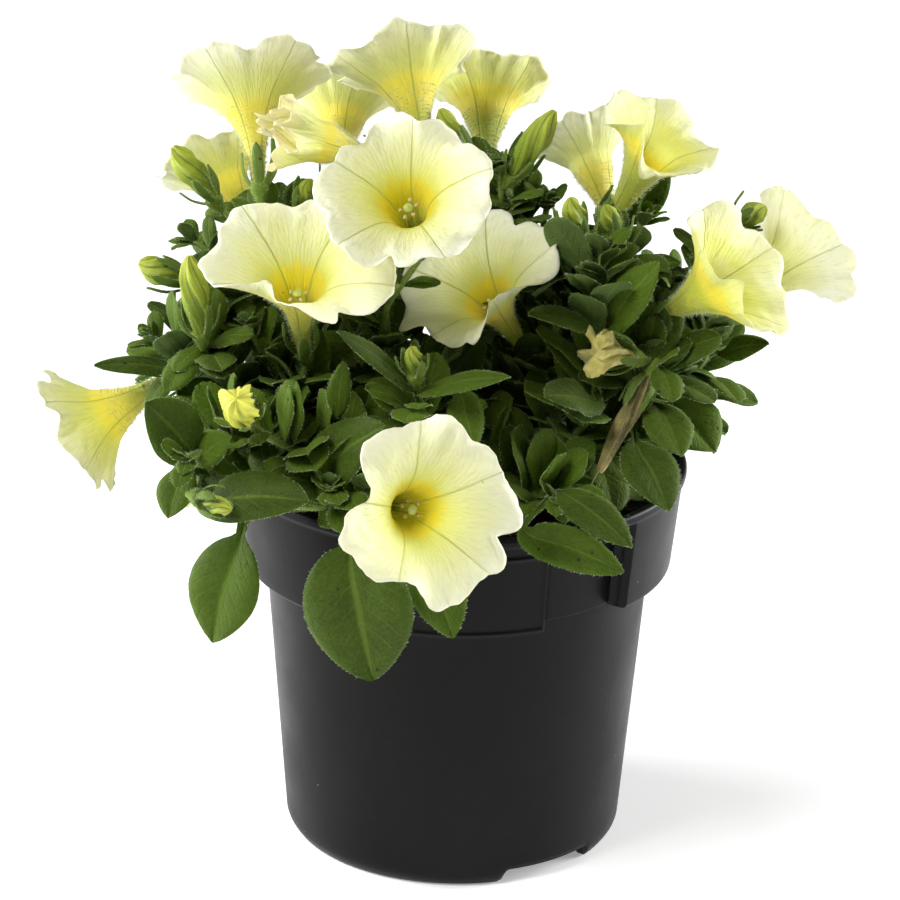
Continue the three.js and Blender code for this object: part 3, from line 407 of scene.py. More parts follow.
BLOOMS = (
    BloomPlace(
        "bloom_front", "stem_front",
        mouth=(-8, -108, 146), faces=(0.42, -0.86, 0.29), radius=28, turn=20, rings=FLAT_TRUMPET,
        curls=(Curl(160, -3, 30),),
    ),
    BloomPlace(
        "bloom_crown", "stem_crown",
        mouth=(-18, -66, 228), faces=(-0.13, -0.69, 0.71), radius=27.5, turn=90, rings=FLAT_TRUMPET,
    ),
    BloomPlace(
        "bloom_left", "stem_left_bloom",
        mouth=(-49, -52, 200), faces=(-0.06, -0.46, 0.88), radius=29, turn=60, rings=FLAT_TRUMPET,
        curls=(Curl(285, 7, 24),),
    ),
    BloomPlace(
        "bloom_middle", "stem_middle",
        mouth=(4, -20, 185), faces=(-0.39, -0.55, 0.74), radius=26, turn=40, rings=FLAT_TRUMPET,
        curls=(Curl(320, 7, 26),),
    ),
    BloomPlace(
        "bloom_right_top", "stem_right_top_bloom",
        mouth=(58, 0, 225), faces=(0.42, -0.21, 0.88), radius=22, turn=30, rings=FLAT_TRUMPET,
        curls=(Curl(215, -7, 30),),
    ),
    BloomPlace(
        "bloom_right", "stem_right_bloom",
        mouth=(82.4, -28, 193), faces=(0.75, -0.3, 0.59), radius=24, turn=70, rings=CONE_TRUMPET,
        curls=(Curl(90, -3, 30),),
    ),
    BloomPlace(
        "bloom_far_right", "stem_far_right",
        mouth=(106, 22, 185), faces=(0.72, 0.51, 0.47), radius=22, turn=15, rings=CONE_TRUMPET,
    ),
    BloomPlace(
        "bloom_top_left", "stem_back_left",
        mouth=(-66, 16, 237.5), faces=(-0.12, 0.66, 0.74), radius=24, turn=50, rings=CONE_TRUMPET,
    ),
    BloomPlace(
        "bloom_wilting", "stem_crown",
        mouth=(-53, -22, 231), faces=(-0.86, -0.34, 0.38), radius=16, turn=10, rings=CONE_TRUMPET,
        curls=(Curl(60, 6, 25), Curl(200, 6, 30)),
        at=0.78, via=((-24, -14, 195),),
    ),
    BloomPlace(
        "bloom_behind", "stem_back",
        mouth=(-38.5, 56, 223), faces=(0.03, 0.66, 0.75), radius=19, turn=35, rings=CONE_TRUMPET,
        at=0.62, via=((-28, 20, 182),),
    ),
    BloomPlace(
        "bloom_top", "stem_back",
        mouth=(-20, 22, 243), faces=(-0.24, 0.6, 0.77), radius=23, turn=5, rings=CONE_TRUMPET,
        curls=(Curl(200, -4, 30),),
    ),
    BloomPlace(
        "bloom_top_right", "stem_back_right",
        mouth=(6, 52, 227.5), faces=(0, 0.69, 0.73), radius=20, turn=65, rings=CONE_TRUMPET,
    ),
    BloomPlace(
        "bloom_back_left", "stem_back_left",
        mouth=(-79, 36, 206), faces=(-0.47, 0.54, 0.7), radius=18, turn=25, rings=CONE_TRUMPET,
        at=0.66,
    ),
    BloomPlace(
        "bloom_right_back", "stem_back_right",
        mouth=(35, 40, 214), faces=(-0.32, 0.64, 0.69), radius=16, turn=45, rings=CONE_TRUMPET,
        at=0.55, via=((36, 24, 168),),
    ),
    BloomPlace(
        "bloom_far_left", "stem_left",
        mouth=(-116, -22, 135), faces=(-0.85, -0.04, -0.52), radius=21, turn=55, rings=CONE_TRUMPET,
        at=0.72,
    ),
    BloomPlace(
        "bloom_hanging", "stem_left",
        mouth=(-78, -22, 113.5), faces=(-0.05, -0.26, -0.96), radius=8, turn=0, rings=CONE_TRUMPET,
        at=0.62, via=((-70, -12, 156),),
    ),
)

BUDS = (
    BudPlace(
        "bud_yellow", "stem_yellow_bud", base=(-62, -76, 161), tip=(-63.7, -88, 171.5), radius=5.5,
    ),
    BudPlace(
        "bud_green_tip", "stem_front_left", base=(-74, -84, 139), tip=(-65, -92, 139), radius=2.5,
        at=1, via=((-76, -72, 137),),
    ),
    BudPlace(
        "bud_left", "stem_left", base=(-77, -38, 173), tip=(-80, -42, 198), radius=4,
        at=0.78, via=((-76, -30, 166),),
    ),
    BudPlace(
        "bud_far_left", "stem_left", base=(-83, -12, 180), tip=(-97, -12, 186), radius=4,
        at=0.8, via=((-78, -18, 172),),
    ),
    BudPlace(
        "bud_back_left", "stem_back_left", base=(-76, 5, 201), tip=(-88, 5, 217), radius=4,
        at=0.86, via=((-68, 4, 193),),
    ),
    BudPlace(
        "bud_upper_left", "stem_back_left", base=(-49, -4, 202), tip=(-46, -6, 211), radius=3,
        at=0.82, via=((-51, -4, 192),),
    ),
    BudPlace(
        "bud_top", "stem_back_right", base=(14, 3, 211), tip=(26, 0, 232), radius=4,
        at=0.8, via=((15, 8, 198),),
    ),
    BudPlace(
        "bud_top_green", "stem_back_right", base=(0, 9, 213), tip=(-8, 10, 229), radius=3.5,
        at=0.9, via=((2, 9, 204),),
    ),
    BudPlace(
        "bud_right_centre", "stem_right_centre", base=(34, -20, 197), tip=(31, -22, 212), radius=3.5,
        at=0.9, via=((35, -21, 190),),
    ),
    BudPlace(
        "bud_far_right", "stem_far_right", base=(82, 8, 196), tip=(91, 8, 201), radius=3.5,
        at=0.82, via=((76, 6, 172), (79, 8, 188)),
    ),
    BudPlace(
        "bud_right_back", "stem_right_top_bloom", base=(45.7, -6, 194.5), tip=(42, -6, 205), radius=3,
        at=0.86, via=((43, 0, 187),),
    ),
    BudPlace(
        "bud_centre", "stem_centre", base=(-13.5, -60.5, 170), tip=(-14.5, -63, 179), radius=2.5,
    ),
)

DRIED = (
    BudPlace(
        "bloom_dried", "stem_right_bloom", base=(51, -35, 167), tip=(38, -42, 172), radius=5,
        at=0.82,
    ),
    BudPlace(
        "bloom_spent", "stem_right_bloom", base=(55.5, -34.5, 161.5), tip=(41, -50, 137), radius=3,
        at=0.8, via=((58, -31, 163),),
    ),
)

TWIGS = (
    TwigPlace("stem_left_low", 0.9, (-78, -82, 151)),
    TwigPlace("stem_front_left", 0.62, (-37, -74, 139)),
    TwigPlace("stem_left_bloom", 0.74, (-64, -28, 172)),
    TwigPlace("stem_left_bloom", 0.7, (-56, -32, 164)),
    TwigPlace("stem_left", 0.72, (-74, -20, 164)),
    TwigPlace("stem_back_left", 0.72, (-65, -2, 186)),
    TwigPlace("stem_back_left", 0.76, (-82, 4, 188)),
    TwigPlace("stem_crown", 0.62, (-38, -22, 178)),
    TwigPlace("stem_back_right", 0.8, (10, 4, 213)),
    TwigPlace("stem_back_right", 0.74, (25, 8, 201)),
    TwigPlace("stem_back_right", 0.66, (17, 0, 195)),
    TwigPlace("stem_middle", 0.7, (29, -10, 170)),
    TwigPlace("stem_right_top_bloom", 0.7, (42, 2, 187)),
    TwigPlace("stem_right_top_bloom", 0.78, (54, 6, 197)),
    TwigPlace("stem_right_bloom", 0.72, (64, 2, 173)),
    TwigPlace("stem_far_right", 0.74, (71, 8, 182)),
)


# ---- Curves and the growth rule ----


def unit(vector: Array) -> Array:
    """The vector, or each vector of an array, at length 1."""
    return vector / np.linalg.norm(vector, axis=-1, keepdims=True)


def lerp(start: float, end: float, share: float | Array) -> float | Array:
    """The value at a share of the way from start to end."""
    return start + (end - start) * share


def turns(count: int) -> Array:
    """Angles evenly round a full turn, in radians."""
    return np.arange(count) * 2 * math.pi / count


def wrapped(angle: Array, turn: float = 2 * math.pi) -> Array:
    """The same angles between minus and plus half a turn, in radians unless a turn of 360 is given."""
    return np.mod(angle + turn / 2, turn) - turn / 2


@dataclass(frozen=True)
class Curve:
    """A smooth curve through points: a Catmull-Rom spline with tension one half."""

    points: Array

    def at(self, share: float | Array) -> Array:
        """Points of the curve.

        Each span between two points is a cubic whose slopes at its ends are half the step between the
        neighbours on both sides, and the ends of the row of points are carried on in a straight line.

        Args:
            share: one or more places along the curve, from 0 to 1.

        Returns:
            An array with one point for each place.
        """
        row = self.points
        padded = np.vstack([2 * row[0] - row[1], row, 2 * row[-1] - row[-2]])
        place = np.asarray(share, float) * (len(row) - 1)
        span = np.minimum(np.floor(place).astype(int), len(row) - 2)
        weight = (place - span)[..., None]
        before, start, end, after = (padded[span + step] for step in range(4))
        slope_in = 0.5 * (end - before)
        slope_out = 0.5 * (after - start)
        second = -3 * start + 3 * end - 2 * slope_in - slope_out
        third = 2 * start - 2 * end + slope_in + slope_out
        return start + slope_in * weight + second * weight**2 + third * weight**3

    def tangent(self, share: float | Array) -> Array:
        """The curve's unit direction at one or more places, from a short chord round each."""
        step = 1e-4
        place = np.asarray(share, float)
        return unit(self.at(np.minimum(place + step, 1)) - self.at(np.maximum(place - step, 0)))


def cross_axes(axis: Array) -> tuple[Array, Array]:
    """Two unit vectors square to an axis: the right and the up of someone who looks at it head on."""
    hint = np.array([0.0, 1.0, 0.0]) if abs(axis[2]) > 0.95 else UP
    right = unit(np.cross(hint, axis))
    return right, np.cross(axis, right)


class Stream:
    """A stream of numbers from 0 to 1 that is the same for the same seed."""

    MASK = 0xFFFFFFFF
    STEP = 0x6D2B79F5

    def __init__(self, seed: int) -> None:
        """Starts the stream at its seed."""
        self.state = seed

    def draw(self) -> float:
        """The next number, mixed from the stepped state by shifts and 32-bit products."""
        self.state = (self.state + self.STEP) & self.MASK
        mixed = ((self.state ^ (self.state >> 15)) * (1 | self.state)) & self.MASK
        mixed = ((mixed + (mixed ^ (mixed >> 7)) * (61 | mixed)) & self.MASK) ^ mixed
        return (mixed ^ (mixed >> 14)) / 2**32


@dataclass(frozen=True)
class Leaf:
    """One leaf: where on its stem it grows, its centre line and its size."""

    at: float
    root: Array
    tip: Array
    face: Array
    arch: float
    width: float
    base: Array | None = None
    tone: float = 0.5

    def curve(self) -> Curve:
        """The leaf's centre line, arched towards its face."""
        start = self.root if self.base is None else self.base
        middle = lerp(start, self.tip, 0.5) + self.face * self.arch
        row = [self.root, middle, self.tip] if self.base is None else [self.root, self.base, middle, self.tip]
        return Curve(np.array(row))

    def samples(self) -> Array:
        """Points spread over the blade, for measuring how close other things come."""
        shares = np.array([[0.2, 0.5], [0.36, 0.95], [0.52, 0.95], [0.68, 0.85], [0.84, 0.5], [1, 0]])
        curve = self.curve()
        forward = curve.tangent(shares[:, 0])
        normal = unit(self.face - forward * (forward @ self.face)[:, None])
        side = np.cross(forward, normal)
        offset = shares[:, 1:] * self.width / 2 * np.array([-1, -0.5, 0, 0.5, 1])
        spread = side[:, None] * (offset * math.cos(FOLD_ANGLE))[..., None]
        lift = normal[:, None] * (np.abs(offset) * math.sin(FOLD_ANGLE))[..., None]
        return (curve.at(shares[:, 0])[:, None] + spread + lift).reshape(-1, 3)


@dataclass
class Flower:
    """What a stalk carries: where its calyx sits, along which axis, and how large it is."""

    name: str
    stem: str
    base: Array
    axis: Array
    sepal: float
    girth: float
    sepals: int
    at: float
    via: tuple[Point, ...]

    def stalk_end(self) -> Array:
        """Where the stalk under the flower ends, inside its calyx."""
        return self.base - CALYX_DEPTH * self.axis


def bloom_base(bloom: BloomPlace) -> Array:
    """Where a bloom's base lies: a trumpet's length behind the centre of its mouth."""
    return np.array(bloom.mouth, float) - bloom.axis * TRUMPET_LENGTH


def flowering() -> list[Flower]:
    """Everything that flowers on the plant."""
    flowers = []
    for bloom in BLOOMS:
        place = (bloom.name, bloom.stem, bloom_base(bloom), bloom.axis)
        flowers.append(Flower(*place, SEPAL_LENGTH, 2.0, 5, bloom.at, bloom.via))
    for bud in BUDS + DRIED:
        base = np.array(bud.base, float)
        axis = np.array(bud.tip, float) - base
        sepal = min(0.7 * float(np.linalg.norm(axis)), 10.0)
        place = (bud.name, bud.stem, base, unit(axis))
        flowers.append(Flower(*place, sepal, bud.radius * 0.75, 4, bud.at, bud.via))
    return flowers


@dataclass
class Shoot:
    """One stem with its curve, the stations that its leaves are counted from, its leaves and its stalks."""

    place: StemPlace
    curve: Curve
    stations: Array
    leaves: list[Leaf] = field(default_factory=list)
    stalks: list[tuple[Flower, Curve]] = field(default_factory=list)
    twigs: list[Curve] = field(default_factory=list)
    own: list[Flower] = field(default_factory=list)

    def chord_point(self, at: float) -> Array:
        """The point at a part of the stem, on the straight line between the stations beside it."""
        after = max(1, int(np.searchsorted(self.stations, at)))
        start, end = self.stations[after - 1], self.stations[after]
        return lerp(self.curve.at(start), self.curve.at(end), (at - start) / (end - start))

    def nearest(self, place: Array) -> float:
        """The part of the stem that lies nearest to a place."""
        parts = np.linspace(LOWEST_ROOT, HIGHEST_ROOT, ROOT_STEPS + 1)
        points = np.array([self.chord_point(at) for at in parts])
        return float(parts[np.argmin(((points - place) ** 2).sum(1))])


class Obstacles:
    """Points that leaves keep clear of, each with its owner and how far its surface stands out."""

    def __init__(self) -> None:
        """Starts with no points."""
        self.rows: list[tuple[Array, str, float, bool]] = []
        self.stale = True

    def add(self, points: Array, owner: str, extra: float, is_stem: bool) -> None:
        """Adds points of one owner."""
        self.rows.append((np.atleast_2d(points), owner, extra, is_stem))
        self.stale = True

    def _gather(self) -> None:
        """Puts all points into arrays."""
        self.points = np.vstack([row[0] for row in self.rows])
        counts = [len(row[0]) for row in self.rows]
        self.owners = np.repeat([row[1] for row in self.rows], counts)
        self.extra = np.repeat([row[2] for row in self.rows], counts)
        self.stems = np.repeat([row[3] for row in self.rows], counts)
        self.stale = False

    def leave_room(self, samples: Array, owner: str, spacing: float) -> bool:
        """Whether a leaf has room.

        Every sample stays inside the pot's mouth or above its rim, and keeps the spacing plus an obstacle's
        own extra from each point, apart from the stem that the leaf grows on and what stands at its root.

        Args:
            samples: points spread over the leaf, from its root to its tip.
            owner: the name of the leaf's stem.
            spacing: the least distance to points of no thickness.

        Returns:
            True where it has room.
        """
        radius = np.hypot(samples[:, 0], samples[:, 1])
        inside = (radius < BAND_TOP_RADIUS - WALL_CLEARANCE) & (samples[:, 2] > SOIL_TOP + SOIL_CLEARANCE)
        above = samples[:, 2] > POT_HEIGHT + RIM_CLEARANCE
        if not np.all(inside | above):
            return False
        if self.stale:
            self._gather()
        centre = samples.mean(0)
        reach = np.linalg.norm(samples - centre, axis=1).max() + spacing + self.extra
        near = ((self.points - centre) ** 2).sum(1) < reach**2
        gap = ((samples[:, None] - self.points[near][None]) ** 2).sum(2)
        apart = gap > (spacing + self.extra[near]) ** 2
        own = self.owners[near] == owner
        root = np.arange(len(samples)) < 10
        excused = own & (self.stems[near] | root[:, None])
        return bool(np.all(apart | excused))


def trumpet_point(bloom: BloomPlace, ring_radius: Array, ring_height: Array, angle: Array) -> tuple:
    """Radius and height of a bloom's surface at angles round its axis.

    The limb has five lobes: a cosine of five times the angle lifts their middles, its cube cuts shallow
    notches between them, two more cosines ruffle the rim, and a bell curve in the angle lifts or drops each
    lobe that curls.

    Args:
        bloom: the bloom.
        ring_radius: radius of the trumpet's outline.
        ring_height: height of the trumpet's outline over its base.
        angle: angle round the axis, in radians.

    Returns:
        The radius and the height, as arrays of one shape.
    """
    limb = np.clip((ring_radius - THROAT_RADIUS) / (TRUMPET_RADIUS - THROAT_RADIUS), 0, 1)
    lobes = 5 * (angle - math.radians(bloom.turn))
    notch = (0.5 - 0.5 * np.cos(lobes)) ** 3
    size = lerp(1, bloom.radius / TRUMPET_RADIUS, np.clip(ring_radius / 12, 0, 1))
    ruffle = 0.9 * np.cos(7 * angle + bloom.turn) + 0.5 * np.cos(11 * angle + 2 * bloom.turn)
    radius = ring_radius * size * (1 - NOTCH_DEPTH * limb * notch)
    height = ring_height + limb * limb * (np.cos(lobes) + ruffle)
    for curl in bloom.curls:
        off = wrapped(angle - math.radians(curl.at))
        share = limb * np.exp(-((off / math.radians(curl.spread)) ** 2))
        height = height + curl.lift * share
        radius = radius - 0.4 * abs(curl.lift) * share
    return radius, height


def bloom_obstacles(bloom: BloomPlace, obstacles: Obstacles) -> None:
    """Adds points on a bloom's rings, and one round point in front of its mouth."""
    axis = bloom.axis
    right, up = cross_axes(axis)
    angle = turns(BLOOM_SAMPLES)
    for ring_radius, ring_height in bloom.rings[1:]:
        radius, height = trumpet_point(bloom, np.float64(ring_radius), np.float64(ring_height), angle)
        spokes = right * (radius * np.cos(angle))[:, None] + up * (radius * np.sin(angle))[:, None]
        points = bloom_base(bloom) + axis * (height + 0 * angle)[:, None] + spokes
        obstacles.add(points, bloom.name, 0.5, False)
    front = np.array(bloom.mouth, float) + axis * 0.7 * bloom.radius
    obstacles.add(front, bloom.name, 0.75 * bloom.radius, False)


def proposed_leaf(shoot: Shoot, at: float, turn: float, lean: float, length: float, stream: Stream) -> Leaf:
    """One leaf that the growth rule proposes.

    Args:
        shoot: the stem that it grows on.
        at: the part of the stem where it grows.
        turn: the angle round the stem.
        lean: the angle away from the stem.
        length: its length before chance changes it.
        stream: where chance comes from: four draws.

    Returns:
        The leaf, not yet tried for room.
    """
    root = shoot.chord_point(at)
    forward = shoot.curve.tangent(at)
    right, up = cross_axes(forward)
    leaf_turn = turn + (stream.draw() - 0.5) * TURN_CHANCE
    leaf_lean = lean + (stream.draw() - 0.5) * LEAN_CHANCE
    size = length * (0.85 + 0.3 * stream.draw())
    outward = right * math.cos(leaf_turn) + up * math.sin(leaf_turn)
    along = forward * math.cos(leaf_lean) + outward * math.sin(leaf_lean)
    tip = root + along * size
    tip[2] -= LEAF_DROOP * size
    width = size * (0.44 + 0.16 * stream.draw())
    return Leaf(at, root, tip, unit(forward * 0.6 + UP * 0.7), LEAF_ARCH * size, width)


class Growth:
    """Grows the plant's leaves on its stems: the layout's own first, then those that find room."""

    def __init__(self) -> None:
        """Lays out stems, stalks, the layout's leaves and what the others keep clear of."""
        self.flowers = flowering()
        self.obstacles = Obstacles()
        self.shoots = [self._shoot(place) for place in STEMS]
        for shoot in self.shoots:
            self._furnish(shoot)
        for bloom in BLOOMS:
            bloom_obstacles(bloom, self.obstacles)
        for bud in BUDS + DRIED:
            line = lerp(np.array(bud.base, float), np.array(bud.tip, float), np.array([[0], [0.5], [1]]))
            self.obstacles.add(line, bud.name, bud.radius - 1, False)

    def _shoot(self, place: StemPlace) -> Shoot:
        """The bare stem: straight up out of the soil, and on to the flower that it ends in, if any."""
        row = [(*place.foot, STEM_FOOT + rise) for rise in STEM_RISES] + list(place.path)
        ends = [flower.stalk_end() for flower in self.flowers if flower.name == place.ends]
        curve = Curve(np.array(row + ends, float))
        leaves_soil = (len(STEM_RISES) - 1) / (len(curve.points) - 1)
        stations = np.concatenate([[0], np.linspace(leaves_soil, 1, STEM_STEPS + 1)])
        return Shoot(place, curve, stations)

    def _furnish(self, shoot: Shoot) -> None:
        """Gives a stem its stalks and the leaves that the layout lists for it."""
        name = shoot.place.name
        self.obstacles.add(shoot.curve.at(np.linspace(0, 1, STEM_SAMPLES)), name, -1, True)
        shoot.own = [flower for flower in self.flowers if flower.stem == name]
        for flower in shoot.own:
            if flower.at >= 0:
                row = [shoot.chord_point(flower.at), *map(np.array, flower.via), flower.stalk_end()]
                stalk = Curve(np.array(row, float))
                self.obstacles.add(stalk.at(np.linspace(0, 1, STALK_SAMPLES)), name, -1.5, True)
                row[0] = shoot.curve.at(flower.at)
                shoot.stalks.append((flower, Curve(np.array(row, float))))
            calyx = flower.base + flower.axis * np.array(CALYX_SAMPLES)[:, None]
            self.obstacles.add(calyx, "calyx", 1.5, False)
        for index, place in enumerate(shoot.place.leaves):
            base, tip = np.array(place.base, float), np.array(place.tip, float)
            at = shoot.nearest(base)
            arch = LAYOUT_ARCH * float(np.linalg.norm(tip - base))
            face = unit(np.array(place.face, float))
            tone = 0.35 + 0.2 * (index % 3)
            leaf = Leaf(at, shoot.chord_point(at), tip, face, arch, place.width, base, tone)
            shoot.leaves.append(leaf)
            self.obstacles.add(leaf.samples(), name, 0, False)

    def _try(self, shoot: Shoot, at: float, turn: float, lean: float, length: float, stream: Stream,
             spacing: float) -> None:
        """Tries a leaf at a place, turning it on until it has room, and keeps it then."""
        for attempt in range(LEAF_ATTEMPTS):
            leaf = proposed_leaf(shoot, at, turn + RETRY_TURN * attempt, lean, length, stream)
            inside = np.linalg.norm((leaf.tip - PLANT_CENTRE) / PLANT_RADII) < 1
            samples = leaf.samples()
            if inside and self.obstacles.leave_room(samples, shoot.place.name, spacing):
                shoot.leaves.append(replace(leaf, tone=0.15 + 0.7 * at))
                self.obstacles.add(samples, shoot.place.name, 0, False)
                return

    def grow(self) -> None:
        """Grows the leaves of the rule, stem by stem: along the stem first, then round its tip."""
        for index, shoot in enumerate(self.shoots):
            stream = Stream(RULE_SEEDS[0] + RULE_SEEDS[1] * index)
            fill, tuft = shoot.place.fill, shoot.place.tuft
            start = BARE_POINTS / (len(shoot.curve.points) - 1)
            end = TUFTED_END if tuft > 0 else FLOWERING_END
            for step in range(fill):
                along = (step + 0.5) / fill
                size = lerp(LOWEST_LEAF, HIGHEST_LEAF, along)
                self._try(shoot, lerp(start, end, along), GOLDEN_TURN * step,
                          RULE_LEAN - RULE_LEAN_FALL * along, size, stream, LEAF_SPACING)
            for step in range(tuft):
                self._try(shoot, TUFT_PLACE, 2 * math.pi * step / tuft, TUFT_LEAN, TUFT_LEAF, stream,
                          LEAF_SPACING)

    def thicken(self) -> None:
        """Adds what is too small for the solids.

        Young leaves grow where the larger ones have left room, a rosette of the smallest leaves closes each
        stem that ends in no flower and each side shoot, a pair of bracts stands at the foot of each flower
        stalk, and small leaves follow stalks and side shoots. Young and small leaves keep clear of the space
        in front of the blooms' mouths. Rosettes and bracts aren't tried for room.
        """
        for bloom in BLOOMS:
            ahead = bloom.radius * bloom.axis * np.array(MOUTH_CLEARANCES)[:, None]
            points = np.array(bloom.mouth, float) + ahead
            self.obstacles.add(points, bloom.name, MOUTH_SHARE * bloom.radius, False)
        for index, shoot in enumerate(self.shoots):
            stream = Stream(YOUNG_SEEDS[0] + YOUNG_SEEDS[1] * index)
            start = BARE_POINTS / (len(shoot.curve.points) - 1)
            for step in range(YOUNG_LEAVES):
                along = (step + 0.5) / YOUNG_LEAVES
                self._try(shoot, lerp(start, YOUNG_END, along), YOUNG_TURN * step + 1,
                          YOUNG_LEAN - YOUNG_LEAN_FALL * along, lerp(*YOUNG_SIZES, along), stream,
                          YOUNG_SPACING)
            if not shoot.place.ends:
                self._rosette(shoot, stream)
            for flower in shoot.own:
                place = flower.at if flower.at >= 0 else BRACT_PLACE
                for side in range(2):
                    leaf = proposed_leaf(shoot, place, math.pi * side + flower.at, BRACT_LEAN, BRACT_SIZE,
                                         stream)
                    shoot.leaves.append(replace(leaf, tone=0.7))
            for place in TWIGS:
                if place.stem == shoot.place.name:
                    foot, tip = shoot.curve.at(place.at), np.array(place.tip, float)
                    bend = lerp(foot, tip, 0.5) - UP * TWIG_SAG * float(np.linalg.norm(tip - foot))
                    shoot.twigs.append(Curve(np.array([foot, bend, tip])))
            for curve in [stalk for _, stalk in shoot.stalks] + shoot.twigs:
                twig = Shoot(shoot.place, curve, np.linspace(0, 1, STEM_STEPS + 1))
                for step in range(TWIG_LEAVES):
                    along = (step + 0.5) / TWIG_LEAVES
                    self._try(twig, lerp(*TWIG_SPAN, along), GOLDEN_TURN * step, TWIG_LEAN,
                              lerp(*TWIG_SIZES, along), stream, TWIG_SPACING)
                if any(curve is twig_curve for twig_curve in shoot.twigs):
                    self._rosette(twig, stream)
                shoot.leaves += [replace(leaf, at=ON_STALK) for leaf in twig.leaves]

    def _rosette(self, shoot: Shoot, stream: Stream) -> None:
        """Closes a shoot with a rosette: the smallest leaves, each a golden turn on from the last."""
        for step in range(ROSETTE_LEAVES):
            along = step / (ROSETTE_LEAVES - 1)
            leaf = proposed_leaf(shoot, lerp(*ROSETTE_SPAN, along), GOLDEN_TURN * step, 0.2 + 0.6 * along,
                                 lerp(*ROSETTE_SIZES, along), stream)
            shoot.leaves.append(replace(leaf, tone=0.8 - 0.2 * along))


# ---- Finishes ----

Colour = tuple[float, float, float]
Source: TypeAlias = "Value | bpy.types.NodeSocket | float | tuple"

VEIN_WOBBLE_SCALE = 6.0
VEIN_WOBBLE = 0.05
VEIN_SLANT = 0.33
VEIN_NET_CELLS = 620.0
PETAL_SIDE_VEINS = 4.5
PETAL_VEIN_SLANT = 13.0
PETAL_STREAKS = 22.0


@dataclass(frozen=True)
class Value:
    """What a node gives out. Each sum on it adds one math node."""

    wiring: Wiring
    socket: bpy.types.NodeSocket

    def __add__(self, other: Source) -> Value:
        """The sum with another number."""
        return self.wiring.math("ADD", self, other)

    def __sub__(self, other: Source) -> Value:
        """What is left when another number is taken away."""
        return self.wiring.math("SUBTRACT", self, other)

    def __mul__(self, other: Source) -> Value:
        """The product with another number."""
        return self.wiring.math("MULTIPLY", self, other)

    def times_plus(self, factor: Source, rest: Source, clamp: bool = False) -> Value:
        """The product with a factor, plus a rest, kept from 0 to 1 where clamp is set."""
        return self.wiring.math("MULTIPLY_ADD", self, factor, rest, clamp)

    def zigzag(self, reach: float) -> Value:
        """A number that runs from 0 up to a reach and back as this one grows."""
        return self.wiring.math("PINGPONG", self, reach)

    def below(self, limit: Source) -> Value:
        """1 where this number is less than a limit, and 0 elsewhere."""
        return self.wiring.math("LESS_THAN", self, limit)

    def span(self, low: float, high: float, start: float = 0.0, end: float = 1.0) -> Value:
        """A number that runs smoothly from start to end while this one runs from low to high."""
        node = self.wiring.add("ShaderNodeMapRange", interpolation_type="SMOOTHSTEP")
        self.wiring.feed(node, Value=self, From_Min=low, From_Max=high, To_Min=start, To_Max=end)
        return self.wiring.out(node, "Result")


